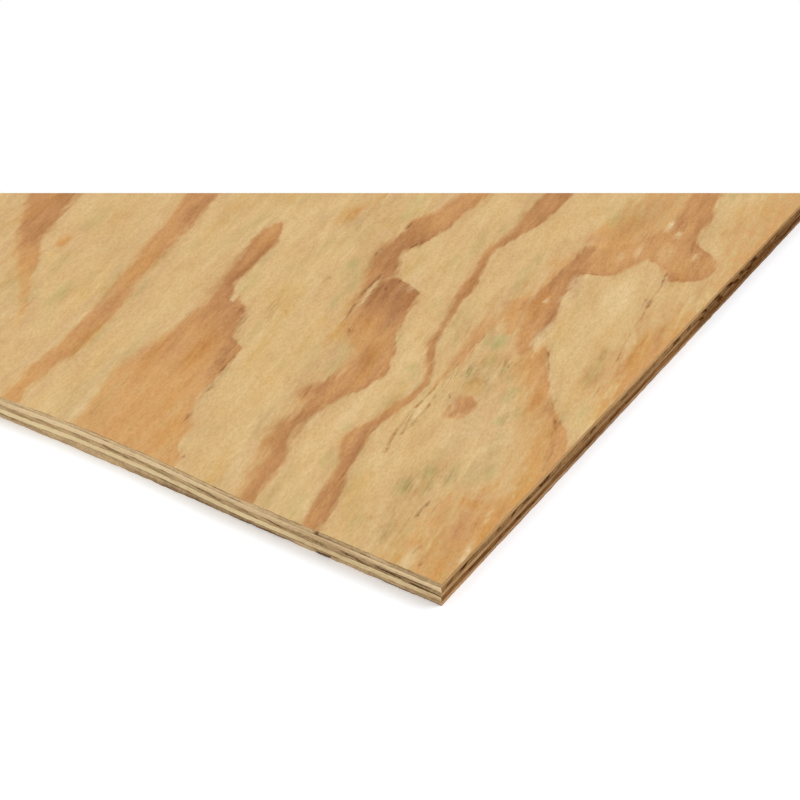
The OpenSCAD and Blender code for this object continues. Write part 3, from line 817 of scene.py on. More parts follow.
def pine_veneer(name, finishes, seed, cornered=False, drawn=False):
    """Peeled pine: rings that may keep clear of the drawn corner, and the drawn figure itself."""
    graph = Graph(bpy.data.materials.new(name))
    place = graph.from_corner()
    grain = graph.turned(place, -GRAIN_TILT)
    wood = graph.noises(grain, PINE_NOISES, seed)
    x, y, _ = graph.parts(place)

    # Dark latewood over pale earlywood
    hold = corner_hold(graph, grain, x, y, seed) if cornered else 0.0
    cover, depth = ring_figure(graph, grain, seed, hold)
    if drawn:
        cover, depth, halo = drawn_figure(graph, wood, hold, cover, depth)
    early = wood_colour(graph, summed(wood, EARLY_SHADES) + EARLYWOOD)
    late = wood_colour(graph, summed(wood, LATE_SHADES) + depth * LATEWOOD + EARLYWOOD)
    colour = graph.mix(cover, early, late)

    # Patches of golden, pinker and duller wood, and sap stain in broken greenish clouds
    gold = (0 - wood["hue"]).rise(*GOLD_PATCHES)
    rose = wood["hue"].rise(*ROSE_PATCHES)
    green = wood["cloud"].rise(*GREEN_PATCHES)
    dull = wood["cloud"].rise(*DULL_PATCHES)
    if drawn:
        green_mark, pale, dark = graph.painted("tints")
        gold_mark, rose_mark, tan_mark = graph.painted("hues")
        gold = gold.greater(gold_mark)
        rose = rose.greater(halo * HALO_ROSE).greater(rose_mark)
        dull = dull.greater(tan_mark)
    broken = summed(wood, BROKEN_HUES) + 1
    for amount, tint in ((gold, finishes.gold), (rose, finishes.rose), (dull, finishes.tan)):
        colour = graph.tinted(colour, amount * broken, tint)
    clouds = summed(wood, STAIN_CLOUDS).rise(*STAIN_FADE)
    green = green * clouds
    if drawn:
        green = green.greater(green_mark * (clouds * STAIN_IN_CLOUDS + STAIN_GROUND))
    green = green * (1 - cover * STAIN_LOST_ON_LATEWOOD)
    colour = graph.tinted(colour, green, finishes.green)
    # Pale marks, paler wood and painted highlights together
    if drawn:
        colour = graph.mix(pale * (wood["stipple"] * BROKEN_PALE + 1), colour, light(finishes.pale_wood_and_highlight))

    # Fine flecks of colour, dark fibres in the dull and stained wood, specks, strokes and hairline checks
    fine_light = graph.vector("MULTIPLY_ADD", summed(wood, FINE_LIGHT), EVEN_LIGHT, WHITE)
    fleck_light = graph.vector("MULTIPLY_ADD", wood["fleck"], FLECK_LIGHT, fine_light)
    colour = graph.vector("MULTIPLY", colour, fleck_light)
    fibres = wood["fibre"].rise(*DULL_FIBRES) * dull.greater(green)
    darkness = fibres.greater(wood["grit"].rise(*SPECKS))
    if drawn:
        torn = graph.noise(grain, TORN_FIBRES, seed).rise(*TORN_FADE)
        wavy = y + summed(wood, WAVY_LINES)
        checks = lines_cover(graph, x, wavy, FACE_CHECKS)
        checks = checks * (summed(wood, BROKEN_CHECKS) + CHECK_STRENGTH)
        strokes = lines_cover(graph, x, wavy, [stroke_rows(row) for row in FACE_STROKES])
        strokes = strokes * (summed(wood, BROKEN_STROKES) + STROKE_STRENGTH)
        colour = graph.tinted(colour, checks, finishes.check)
        darkness = darkness.greater(dark * torn).greater(strokes)
    colour = graph.tinted(colour, darkness, finishes.dark)

    return graph.finish(colour, summed(wood, PINE_RELIEF), PINE_SURFACE, wood["blotch"] * PINE_UNEVENNESS)


# Glue soaked into the bare wood between two veneers, and the bark in the knothole
GLUE_LUMPS = Lumps((40, 40, 40), 17)
GLUE_SURFACE = Surface(0.7, 0.1)
BARK_LUMPS = Lumps((3, 3, 6), 63, 3.0)
BARK_SURFACE = Surface(0.85, 0.5)


def mottled(name, lumps, dark, pale, surface):
    """A surface of two colours that run into each other in lumps."""
    graph = Graph(bpy.data.materials.new(name))
    lump = graph.noise(graph.from_corner(), lumps)
    colour = graph.mix(lump + NOISE_MIDDLE, light(dark), light(pale))
    return graph.finish(colour, lump, surface)


# How a veneer's sawn edge looks: its two colours, the seed of its noise, the slope and the pitch in
# millimetres of the rings in end grain, where it is darker along the edge, and dark streaks. A streak runs
# from one place along the edge and height to another, and has a half thickness and a strength.
Edge = namedtuple("Edge", "pale dark seed rings stain streaks")

# Short edges: the left side turns away from the lamp, but their colours and darkening are set paler than the
# wood's own, as painted light on that side.
SHORT_EDGES = {
    "face": Edge(screen(235, 202, 153), screen(128, 98, 65), 31, (0.03, 3.4), (
        (0, 0.42), (40, 0.42), (44, 0.16), (51, 0.16), (56, 0.42), (88, 0.42), (102, 0.16), (180, 0.08),
        (340, 0.08), (420, 0.35), (1219, 0.35),
    ), (
        (92, 18.6, 97, 13.6, 1.6, 0.55), (102, 17.4, 150, 18.6, 0.7, 0.40),
        (150, 18.4, 345, 18.5, 0.6, 0.55),
    )),
    "upper": Edge(screen(251, 222, 175), screen(174, 135, 91), 50, None, (
        (0, 0.16), (60, 0.22), (100, 0.42), (150, 0.36), (200, 0.18), (280, 0.04), (340, 0.06),
        (600, 0.30), (1219, 0.30),
    ), (
        (0, 14.6, 60, 14.2, 0.35, 0.25), (20, 12.3, 120, 12.8, 0.35, 0.22),
        (150, 11.8, 330, 12.4, 0.35, 0.18),
    )),
    "centre": Edge(screen(217, 183, 135), screen(88, 61, 37), 71, (0.11, 3.3), (
        (0, 0.28), (80, 0.26), (100, 0.12), (150, 0.10), (220, 0.06), (340, 0.06), (600, 0.25),
        (1219, 0.25),
    ), (
        (-10, 7.2, 27, 7.9, 0.8, 0.65), (5, 9.9, 40, 10.6, 0.7, 0.35), (24, 8.2, 53, 10.3, 0.6, 0.60),
        (50, 7.2, 78, 10.2, 0.6, 0.60), (84, 8.4, 120, 9.6, 0.6, 0.35), (116, 8.0, 142, 11.0, 0.5, 0.50),
        (150, 8.0, 205, 10.4, 0.6, 0.30), (210, 7.8, 250, 9.8, 0.6, 0.30),
        (248, 8.2, 284, 11.0, 0.8, 0.45), (286, 9.0, 308, 10.8, 0.6, 0.40),
    )),
    "lower": Edge(screen(255, 231, 181), screen(188, 149, 102), 90, None, (
        (0, 0.50), (40, 0.40), (70, 0.25), (120, 0.18), (250, 0.05), (340, 0.05), (600, 0.20),
        (1219, 0.20),
    ), (
        (-5, 3.6, 18, 4.6, 0.9, 0.45), (60, 6.4, 180, 6.7, 0.35, 0.20),
    )),
    # Its streaks darken the foot of the edge, where it stands on the floor
    "back": Edge(screen(227, 195, 150), screen(118, 88, 58), 91, (0.04, 3.6), (
        (0, 0.28), (48, 0.28), (56, 0.16), (76, 0.18), (110, 0.22), (124, 0.42), (220, 0.36), (250, 0.20),
        (340, 0.20), (600, 0.36), (1219, 0.36),
    ), (
        (-5, 0.2, 50, 0.4, 0.7, 0.35), (118, 0.6, 250, 1.0, 0.7, 0.35),
    )),
}

# Long edges: darker partly by the wood's own colour and the crossbands' end grain, and partly by painted
# shade on that side, although it faces the lamp.
LONG_EDGES = {
    "face": Edge(screen(206, 168, 118), screen(120, 78, 40), 32, None, (
        (0, 0.16), (120, 0.18), (250, 0.24), (360, 0.30), (420, 0.36), (700, 0.45), (1200, 0.20),
        (2438, 0.30),
    ), ()),
    "upper": Edge(screen(176, 132, 84), screen(72, 38, 10), 55, (0.08, 4.2), (
        (0, 0.28), (80, 0.26), (200, 0.20), (360, 0.30), (385, 0.44), (700, 0.46), (1200, 0.30),
        (2438, 0.42),
    ), (
        (3, 11.4, 15, 13.6, 1.0, 0.45), (20, 12.0, 33, 14.0, 1.5, 0.60), (66, 13.0, 73, 14.8, 1.2, 0.40),
        (84, 12.8, 95, 14.0, 1.3, 0.45), (99, 13.0, 112, 13.6, 1.2, 0.50),
        (121, 12.0, 140, 13.4, 1.6, 0.65), (148, 11.6, 153, 14.0, 1.1, 0.50),
        (190, 12.4, 206, 13.2, 1.5, 0.45), (239, 11.0, 253, 11.8, 1.4, 0.50),
        (322, 12.2, 336, 13.2, 1.6, 0.60), (346, 12.6, 354, 13.4, 1.4, 0.45),
        (370, 15.5, 384, 10.6, 1.7, 0.45), (392, 15.5, 408, 10.6, 2.0, 0.50),
        (415, 15.6, 430, 10.6, 1.8, 0.55), (436, 15.6, 450, 10.6, 1.6, 0.45),
        (458, 15.6, 474, 10.6, 1.9, 0.50),
    )),
    "centre": Edge(screen(200, 160, 114), screen(86, 48, 16), 72, None, (
        (0, 0.24), (45, 0.30), (70, 0.40), (90, 0.30), (120, 0.36), (170, 0.48), (260, 0.42), (350, 0.42),
        (385, 0.78), (700, 0.60), (1200, 0.22), (2438, 0.40),
    ), (
        (366, 11.2, 378, 7.0, 1.5, 0.40), (398, 11.2, 412, 7.0, 1.7, 0.50),
        (428, 11.2, 442, 7.0, 1.5, 0.45), (452, 11.2, 466, 7.0, 1.5, 0.40),
    )),
    "lower": Edge(screen(160, 114, 70), screen(70, 36, 10), 95, (0.08, 4.2), (
        (0, 0.22), (28, 0.30), (60, 0.34), (100, 0.32), (200, 0.38), (300, 0.22), (360, 0.36),
        (400, 0.56), (700, 0.60), (1200, 0.35), (2438, 0.48),
    ), (
        (28, 5.4, 60, 5.8, 1.2, 0.35), (64, 5.0, 76, 5.6, 1.2, 0.30), (88, 5.0, 120, 5.2, 1.2, 0.35),
        (165, 4.8, 206, 4.4, 1.3, 0.35), (220, 4.8, 300, 5.2, 1.2, 0.30),
    )),
    # Its streak darkens the foot of the edge, where it stands on the floor
    "back": Edge(screen(208, 168, 124), screen(98, 60, 26), 92, None, (
        (0, 0.18), (120, 0.30), (250, 0.32), (365, 0.40), (390, 0.66), (700, 0.60), (1200, 0.25),
        (2438, 0.40),
    ), (
        (-5, 0.3, 340, 0.3, 0.6, 0.25),
    )),
}

# How the grain of a sawn edge looks: its name, its noises, what they do to its tone and its relief, how far
# they bend its streaks and fray its seams, how dark the seams are, and its surface
Grain = namedtuple("Grain", "name noises tones relief bends frays seam surface")

LONG_GRAIN = Grain(
    "long_grain",
    {
        "lines": Lumps((80, 80, 0.8), 0),
        "broad": Lumps((60, 60, 3.0), 1),
        "fuzz": Lumps((3.2, 3.2, 1.2), 2),
    },
    tones={"lines": 0.7, "broad": 0.9, "fuzz": 0.7},
    relief={"lines": 0.6, "fuzz": 0.6},
    bends={"broad": 1.2 * MM},
    frays={"fuzz": 0.8 * MM},
    seam=0.28,
    surface=Surface(0.75, 0.25),
)
END_GRAIN = Grain(
    "end_grain",
    {
        "bend": Lumps((70, 70, 12), 0, 1.0),
        "strength": Lumps((40, 40, 6), 1, 1.0),
        "torn": Lumps((14, 14, 3.2), 2, 3.0, 0.6),
        "pores": Lumps((2.0, 2.0, 1.2), 3),
    },
    tones={"torn": 0.8, "pores": 0.8},
    relief={"torn": 0.8, "pores": 0.8},
    bends={"torn": 1.0 * MM},
    frays={"pores": 0.8 * MM},
    seam=0.22,
    surface=Surface(0.85, 0.40),
)
# Over what distance a seam fades from a glue line, and from the top and the foot of the sheet, where the
# edges are darker too
SEAM_FADE = (-0.1 * MM, 0.6 * MM)
# Rings in end grain: how far they bend, where in a ring its dark part rises and ends, how dark it is,
# how far that strays, and how far it is hollowed
END_RING_BEND = 1.4
END_RING_RISE = (0.35, 0.85)
END_RING_END = (0.88, 1.0)
END_RING_TONE = 0.225
END_RING_STRAY = 0.9
END_RING_HOLLOW = 0.3
# Streaks: at how many half thicknesses one starts to fade and is gone, and how long it fades at its ends,
# as a share of its length and in millimetres at most
STREAK_FADE = (0.25, 1.6)
STREAK_TIP_SHARE = 0.3
LONGEST_STREAK_TIP = 8


def stained(graph, along, z, edge):
    """How much darker an edge is along its length, with its streaks."""
    line = [(place * MM, amount) for place, amount in edge.stain]
    stain = graph.node("ShaderNodeFloatCurve", {"curves": [line]}, {"Value": along})
    inner, outer = STREAK_FADE
    for start, start_height, end, end_height, half, strength in edge.streaks:
        slope = (end_height - start_height) / (end - start)
        middle = (along - start * MM) * slope + start_height * MM
        away = (z - middle).math("ABSOLUTE")
        tip = min(STREAK_TIP_SHARE * (end - start), LONGEST_STREAK_TIP)
        span = along.rise(start * MM, (start + tip) * MM) * (1 - along.rise((end - tip) * MM, end * MM))
        thickness = 1 - away.rise(inner * half * MM, outer * half * MM)
        stain = stain + thickness * span * strength
    return stain


def sawn_edge(layer, edge, low, high, along_x):
    """A veneer's edge: fine lines where it is sawn along its grain, or slanting rings and torn fibres."""
    look = END_GRAIN if edge.rings else LONG_GRAIN
    graph = Graph(bpy.data.materials.new(f"{layer}_{look.name}"))
    place = graph.from_corner()
    x, y, z = graph.parts(place)
    along = x if along_x else y
    noises = graph.noises(place, look.noises, edge.seed)
    tone = summed(noises, look.tones) + stained(graph, along, z + summed(noises, look.bends), edge)
    relief = summed(noises, look.relief)
    if edge.rings:
        slope, pitch = edge.rings
        ring = ((z - along * slope) / (pitch * MM) + noises["bend"] * END_RING_BEND).fraction()
        rings = ring.rise(*END_RING_RISE) * (1 - ring.rise(*END_RING_END))
        tone = tone + rings * (noises["strength"] * END_RING_STRAY + END_RING_TONE)
        relief = relief - rings * END_RING_HOLLOW
    seam = (z - low.z).lesser(high.z - z) + summed(noises, look.frays)
    tone = tone + (1 - seam.rise(*SEAM_FADE)) * look.seam
    return graph.finish(graph.mix(tone, light(edge.pale), light(edge.dark)), relief, look.surface)


def length_prop(label, description, default):
    return bpy.props.FloatProperty(name=label, description=description, default=default, unit="LENGTH")


def steps_prop(label, description, default):
    return bpy.props.IntVectorProperty(
        name=label, description=f"{description}, in two steps", size=2, default=default, min=1)


def angle_prop(label, description, degrees):
    return bpy.props.FloatProperty(
        name=label, description=description, default=math.radians(degrees), subtype="ANGLE")


def colour_prop(label, description, default, subtype="COLOR_GAMMA"):
    """A colour as it is read off a screen, or another kind of colour."""
    return bpy.props.FloatVectorProperty(
        name=label, description=description, size=3, default=default, min=0.0, max=1.0, subtype=subtype)


def tint_prop(label, description, default):
    """A colour that light is multiplied by."""
    return colour_prop(label, f"Share of the light that comes back from {description}", default, "COLOR")


class PlywoodSizes(bpy.types.PropertyGroup):
    """Sizes of the grids, the sawn edges and the knothole"""

    long_parts: steps_prop("Long edge parts", "How a long edge is divided", (9, 90))
    short_parts: steps_prop("Short edge parts", "How a short edge is divided", (6, 100))
    figure_columns: steps_prop(
        "Figure columns", "How many parts of the long edge the drawn figure spans", (4, 55))
    figure_rows: steps_prop("Figure rows", "How many parts of the short edge the drawn figure spans", (4, 75))
    rows: bpy.props.IntProperty(
        name="Rows", description="Rows of faces in the height of a veneer's edge", default=4, min=2)
    rim: length_prop("Rim", "Width of the strip inside the edge that takes up its waves", 1.6 * MM)
    end_grain_relief: length_prop(
        "End grain relief", "How rough an edge sawn across the grain is", 1.6 * MM)
    long_grain_relief: length_prop(
        "Long grain relief", "How rough an edge sawn along the grain is", 0.7 * MM)
    glue_wave: length_prop("Glue line wave", "How far a glue line strays up and down at an edge", 1.5 * MM)
    set_back: length_prop("Set back", "How far the saw strayed into the left short edge", 4.0 * MM)
    set_back_start: length_prop(
        "Set back start", "Where the saw is deepest in the short edge, from the front", 248 * MM)
    set_back_end: length_prop("Set back end", "Where the saw comes back out, from the front", 284 * MM)
    set_back_fade: length_prop("Set back fade", "Over what distance the saw strayed", 106 * MM)
    set_back_foot: bpy.props.FloatProperty(
        name="Set back foot", description="The share of the set back at the underside",
        default=0.2, min=0.0, max=1.0, subtype="FACTOR")
    knothole_radius: length_prop("Knothole radius", "Radius of the knothole in the back veneer", 8 * MM)
    knothole_inset: length_prop(
        "Knothole inset", "How far the middle of the knothole lies in from the short edge", 4 * MM)
    knothole_from_front: length_prop(
        "Knothole from front", "How far the middle of the knothole lies from the front long edge", 89 * MM)
    bark: length_prop("Bark", "Thickness of the bark at the foot of the knothole", 0.6 * MM)
    bark_ring: length_prop("Bark ring", "Thickness of the bark round the knothole", 1.4 * MM)
    bark_roof: length_prop("Bark roof", "Thickness of the bark over the knothole", 1.0 * MM)
    bark_lip: length_prop("Bark lip", "How far the bark reaches into the knothole", 3 * MM)

    def figure_reach(self):
        """How far the drawn figure reaches along and across the sheet."""
        along = LENGTH * math.prod(self.figure_columns) / math.prod(self.long_parts)
        across = WIDTH * math.prod(self.figure_rows) / math.prod(self.short_parts)
        return along, across


class PlywoodFinishes(bpy.types.PropertyGroup):
    """Colours of the wood, the glue and the bark"""

    # The pale marks hold paler wood and painted highlights
    pale_wood_and_highlight: colour_prop("Pale wood", "Colour of the palest marks on the face", screen(232, 206, 158))
    glue_dark: colour_prop("Dark glue", "Where glue has soaked into the wood", screen(120, 84, 56))
    glue_pale: colour_prop("Pale glue", "Where less glue has soaked in", screen(156, 118, 80))
    bark_dark: colour_prop("Dark bark", "The darker colour in the knothole", screen(136, 110, 90))
    bark_pale: colour_prop("Pale bark", "The paler colour in the knothole", screen(186, 156, 128))
    gold: tint_prop("Gold", "golden wood", (0.97, 0.90, 0.70))
    rose: tint_prop("Rose", "pinker wood", (0.92, 0.89, 1.00))
    tan: tint_prop("Tan", "duller wood", (0.87, 0.85, 0.83))
    green: tint_prop("Green", "wood with sap stain", (0.70, 0.90, 0.77))
    dark: tint_prop("Dark", "torn fibres and strokes", (0.42, 0.33, 0.26))
    check: tint_prop("Check", "hairline checks", (0.62, 0.45, 0.33))


class PlywoodStage(bpy.types.PropertyGroup):
    """The camera, the light and the floor"""

    target: bpy.props.FloatVectorProperty(
        name="Target", description="Where the camera looks, from the left front corner",
        size=3, default=(0.171, 0.141, 0.0), subtype="XYZ", unit="LENGTH")
    azimuth: angle_prop("Azimuth", "Direction of the camera round the sheet", 302.82)
    elevation: angle_prop("Elevation", "Height of the camera above the floor, as an angle", 35.70)
    distance: length_prop("Distance", "From the camera to its target", 1.356)
    lens: bpy.props.FloatProperty(
        name="Lens", description="Focal length in millimetres", default=85.0, subtype="DISTANCE_CAMERA")
    sensor: bpy.props.FloatProperty(
        name="Sensor", description="Width of the picture behind the lens, in millimetres",
        default=36.0, subtype="DISTANCE_CAMERA")
    sky: bpy.props.FloatProperty(
        name="Sky", description="Strength of the even light from all round", default=0.785)
    lamp: bpy.props.FloatProperty(
        name="Lamp", description="Strength of the soft lamp on the right", default=0.90)
    lamp_angle: angle_prop("Lamp angle", "How wide the lamp is in the sky", 34)
    lamp_direction: bpy.props.FloatVectorProperty(
        name="Lamp direction", description="Where the light of the lamp comes from",
        size=3, default=(0.46, -0.40, 0.79), subtype="XYZ")
    floor_size: length_prop("Floor size", "Side of the white floor", 40)
    floor_card: tint_prop("Floor", "the floor", (0.80, 0.80, 0.80))
    floor_glow: tint_prop("Floor glow", "the floor besides, where it is background", (0.39, 0.42, 0.46))


def pick(piece, kind, test):
    """Selects the vertices, edges or faces of the piece in edit mode that pass a test, and no others."""
    bpy.ops.mesh.select_all(action="DESELECT")
    bpy.ops.mesh.select_mode(type={"verts": "VERT", "edges": "EDGE", "faces": "FACE"}[kind])
    mesh = bmesh.from_edit_mesh(piece.data)
    for part in getattr(mesh, kind):
        if test(part):
            part.select_set(True)
    mesh.select_flush_mode()


def runs_along(edge, axis):
    way = edge.verts[1].co - edge.verts[0].co
    return abs(way[axis]) > way.length / 2


def cap_loop(piece, height, rim):
    """Closes the loop of vertices at one height with a face, and sets a rim inside it."""
    pick(piece, "verts", lambda vert: abs(vert.co.z - height) < LEVEL_HAIR)
    bpy.ops.mesh.edge_face_add()
    bpy.ops.mesh.inset(thickness=rim, use_boundary=True)


def divide(piece, axis, steps, test):
    """Divides a long straight edge into equal parts, in steps."""
    for count in steps:
        pick(piece, "edges", lambda edge: runs_along(edge, axis) and test(edge))
        bpy.ops.mesh.subdivide(number_cuts=count - 1)


# The face that fills the drawn corner has at least so many sides, and comes so near to the corner.
# The sides of the corner's grid are found to within a hair.
CORNER_SIDES = 8
NEAR_CORNER = 6 * MM
GRID_HAIR = 0.2 * MM


def covers_corner(face, top):
    """Whether a face is the many-sided one that fills the drawn corner of the top."""
    if len(face.verts) < CORNER_SIDES:
        return False
    near = min(face.verts, key=lambda vert: (vert.co - CORNER).xy.length)
    return (near.co - CORNER).xy.length < NEAR_CORNER and abs(near.co.z - top) < LEVEL_HAIR


def figure_grid(piece, top, sizes):
    """Lays a fine grid over the corner of the top, to carry the drawn figure."""
    reach = CORNER + Vector((*sizes.figure_reach(), 0))
    for axis in (Vector((1, 0, 0)), Vector((0, 1, 0))):
        pick(piece, "faces", lambda face: covers_corner(face, top))
        bpy.ops.mesh.bisect(plane_co=reach, plane_no=axis)
    pick(piece, "faces", lambda face: covers_corner(face, top))
    bpy.ops.mesh.delete(type="ONLY_FACE")

    def on_far_side(edge, axis):
        beside = 1 - axis
        inside_rim = CORNER[beside] + sizes.rim / 2
        return all(
            abs(vert.co[axis] - reach[axis]) < GRID_HAIR
            and vert.co.z > top - GRID_HAIR
            and inside_rim < vert.co[beside] < reach[beside] + GRID_HAIR
            for vert in edge.verts)

    divide(piece, 0, sizes.figure_columns, lambda edge: on_far_side(edge, 1))
    divide(piece, 1, sizes.figure_rows, lambda edge: on_far_side(edge, 0))
    pick(piece, "edges", lambda edge: edge.is_boundary)
    bpy.ops.mesh.fill_grid()


def veneer_slab(name, node, sizes, figured=False):
    """A closed slab in the place of a CAD veneer, with edges that are divided finely."""
    low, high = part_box(node)
    middle = (low + high) / 2
    size = high - low
    bpy.ops.object.select_all(action="DESELECT")
    bpy.ops.mesh.primitive_plane_add(size=1, location=(middle.x, middle.y, low.z))
    piece = bpy.context.object
    piece.name = name
    piece.data.name = name
    bpy.ops.transform.resize(value=(size.x, size.y, 1))
    bpy.ops.object.transform_apply(location=True, rotation=True, scale=True)
    bpy.ops.object.mode_set(mode="EDIT")
    bpy.ops.mesh.delete(type="ONLY_FACE")
    divide(piece, 0, sizes.long_parts, lambda edge: True)
    divide(piece, 1, sizes.short_parts, lambda edge: True)
    pick(piece, "verts", lambda vert: True)
    for _ in range(sizes.rows):
        bpy.ops.mesh.extrude_region_move(TRANSFORM_OT_translate={"value": (0, 0, size.z / sizes.rows)})
    cap_loop(piece, low.z, sizes.rim)
    cap_loop(piece, high.z, sizes.rim)
    if figured:
        figure_grid(piece, high.z, sizes)
    bpy.ops.mesh.select_all(action="SELECT")
    bpy.ops.mesh.normals_make_consistent(inside=False)
    bpy.ops.object.mode_set(mode="OBJECT")
    return piece, low, high


def weigh(piece, name, weight):
    """Adds a vertex group whose weights come from a function of each vertex's place."""
    group = piece.vertex_groups.new(name=name)
    for vert in piece.data.vertices:
        amount = weight(vert.co)
        if amount > 0:
            group.add([vert.index], amount, "REPLACE")


def select_only(piece):
    """Makes a piece the only selected object, and the active one."""
    bpy.ops.object.select_all(action="DESELECT")
    piece.select_set(True)
    bpy.context.view_layer.objects.active = piece


def push(piece, group, direction, depth, settings):
    """Pushes a group of vertices along one axis with a modifier, which it applies."""
    select_only(piece)
    bpy.ops.object.modifier_add(type="DISPLACE")
    modifier = piece.modifiers[-1]
    modifier.vertex_group = group
    modifier.direction = direction
    modifier.strength = depth
    for name, value in settings.items():
        setattr(modifier, name, value)
    bpy.ops.object.modifier_apply(modifier=modifier.name)


# How many finer layers the clouds have that push an edge in and out
CLOUD_DETAIL = 2


def push_by_clouds(piece, group, direction, depth, lump, shift):
    """Pushes a group of vertices in and out by clouds of noise."""
    bpy.ops.object.empty_add(location=shift)
    guide = bpy.context.object
    guide.scale = lump
    bpy.context.view_layer.update()
    clouds = bpy.data.textures.new(group, "CLOUDS")
    clouds.noise_scale = 1.0
    clouds.noise_depth = CLOUD_DETAIL
    push(piece, group, direction, depth, {
        "texture": clouds,
        "texture_coords": "OBJECT",
        "texture_coords_object": guide,
        "mid_level": NOISE_MIDDLE,
    })
    bpy.data.objects.remove(guide)
    bpy.data.textures.remove(clouds)


# Rough edges: how near to the sheet's sides a vertex of an edge lies, the lumps of the wavy glue lines
# and of the sawn wood, and how far the clouds are shifted for each height and each veneer
AT_EDGE = 0.1 * MM
WAVE_LUMP = (80 * MM, 80 * MM, 1.0)
ROUGH_LUMP = (7 * MM, 7 * MM, 3.5 * MM)
WAVE_SHIFT = 900
ROUGH_SHIFTS = {"face": 3.1, "upper": 5, "centre": 7.7, "lower": 9, "back": 11.3}


def roughen(piece, layer, low, high, sizes):
    """Makes the sawn edges rough and the glue lines wavy."""
    reliefs = (sizes.end_grain_relief, sizes.long_grain_relief)
    short_relief, long_relief = reliefs if SHORT_EDGES[layer].rings else reversed(reliefs)

    def on_short(co):
        return 1.0 if min(co.x - SHEET_LOW.x, SHEET_HIGH.x - co.x) < AT_EDGE else 0.0

    def on_long(co):
        return 1.0 if min(co.y - SHEET_LOW.y, SHEET_HIGH.y - co.y) < AT_EDGE else 0.0

    def height(co):
        return (co.z - low.z) / (high.z - low.z)

    weigh(piece, "short_edges", on_short)
    weigh(piece, "long_edges", on_long)
    weigh(piece, "upper_glue_line", lambda co: max(on_short(co), on_long(co)) * height(co))
    weigh(piece, "lower_glue_line", lambda co: max(on_short(co), on_long(co)) * (1 - height(co)))
    if high.z < SHEET_HIGH.z - AT_EDGE:
        push_by_clouds(piece, "upper_glue_line", "Z", sizes.glue_wave, WAVE_LUMP, (0, 0, high.z * WAVE_SHIFT))
    if low.z > SHEET_LOW.z + AT_EDGE:
        push_by_clouds(piece, "lower_glue_line", "Z", sizes.glue_wave, WAVE_LUMP, (0, 0, low.z * WAVE_SHIFT))
    shift = ROUGH_SHIFTS[layer]
    push_by_clouds(piece, "short_edges", "X", short_relief, ROUGH_LUMP, (shift, 0, 0))
    push_by_clouds(piece, "long_edges", "Y", long_relief, ROUGH_LUMP, (0, shift, 0))
    piece.vertex_groups.clear()


def set_back(piece, low, high, sizes, foot=1.0):
    """Pushes in a stretch of the left short edge, where the saw strayed, with a share of it at the foot."""
    start = CORNER.y + sizes.set_back_start
    end = CORNER.y + sizes.set_back_end

    def strayed(co):
        inside = max(co.x - SHEET_LOW.x, 0) / sizes.set_back_fade
        beside = max(start - co.y, co.y - end, 0) / sizes.set_back_fade
        fade = max(1 - inside, 0) * max(1 - beside, 0)
        return eased(fade) * (foot + (1 - foot) * (co.z - low.z) / (high.z - low.z))

    weigh(piece, "strayed", strayed)
    push(piece, "strayed", "X", sizes.set_back, {"mid_level": 0.0})
    piece.vertex_groups.clear()


# The knothole: the sides of its cutter, how uneven they are, the seed of that, how far the cut through
# its foot starts below the underside and ends below the roof, how far off the round its wall may lie,
# and the slope past which a face looks down
HOLE_SIDES = 40
HOLE_UNEVENNESS = 0.3 * MM
HOLE_SEED = 4
FOOT_CUT_DROP = 1 * MM
WALL_HAIR = 0.4 * MM
FACING_DOWN = -0.5


def knothole_centre(sizes):
    return CORNER + Vector((sizes.knothole_inset, sizes.knothole_from_front, 0))


def cut_hole(piece, middle, radius, bottom, top):
    """Cuts a round hole with an uneven wall, between two heights."""
    bpy.ops.object.select_all(action="DESELECT")
    place = (middle.x, middle.y, (top + bottom) / 2)
    depth = top - bottom
    bpy.ops.mesh.primitive_cylinder_add(vertices=HOLE_SIDES, radius=radius, depth=depth, location=place)
    cutter = bpy.context.object
    bpy.ops.object.mode_set(mode="EDIT")
    bpy.ops.mesh.select_all(action="SELECT")
    bpy.ops.transform.vertex_random(offset=HOLE_UNEVENNESS, seed=HOLE_SEED)
    bpy.ops.object.mode_set(mode="OBJECT")
    bpy.context.view_layer.objects.active = piece
    bpy.ops.object.modifier_add(type="BOOLEAN")
    cut = piece.modifiers[-1]
    cut.operation = "DIFFERENCE"
    cut.solver = "EXACT"
    cut.object = cutter
    bpy.ops.object.modifier_apply(modifier=cut.name)
    bpy.data.objects.remove(cutter)


def cut_knothole(piece, low, high, sizes):
    """Cuts the knothole. Bark stays round it and over it, and a thin lip of bark at the underside."""
    middle = knothole_centre(sizes)
    lip = Vector((sizes.bark_lip, 0, 0))
    radius = sizes.knothole_radius - sizes.bark_ring
    roof = high.z - sizes.bark_roof
    cut_hole(piece, middle, radius, low.z + sizes.bark, roof)
    cut_hole(piece, middle + lip, radius - sizes.bark_lip, low.z - FOOT_CUT_DROP, roof - FOOT_CUT_DROP)


def line_knothole(piece, high, sizes, bark):
    """Gives the wall of the knothole its bark."""
    middle = knothole_centre(sizes)
    reach = sizes.knothole_radius - sizes.bark_ring + WALL_HAIR
    piece.data.materials.append(bark)
    for face in piece.data.polygons:
        inside = (face.center - middle).xy.length < reach
        below_roof = face.center.z < high.z - sizes.bark_roof
        if inside and below_roof and face.normal.z > FACING_DOWN:
            face.material_index = len(piece.data.materials) - 1


# The order of a slab's materials
TOP, BOTTOM, SHORT, LONG, DRAWN = range(5)


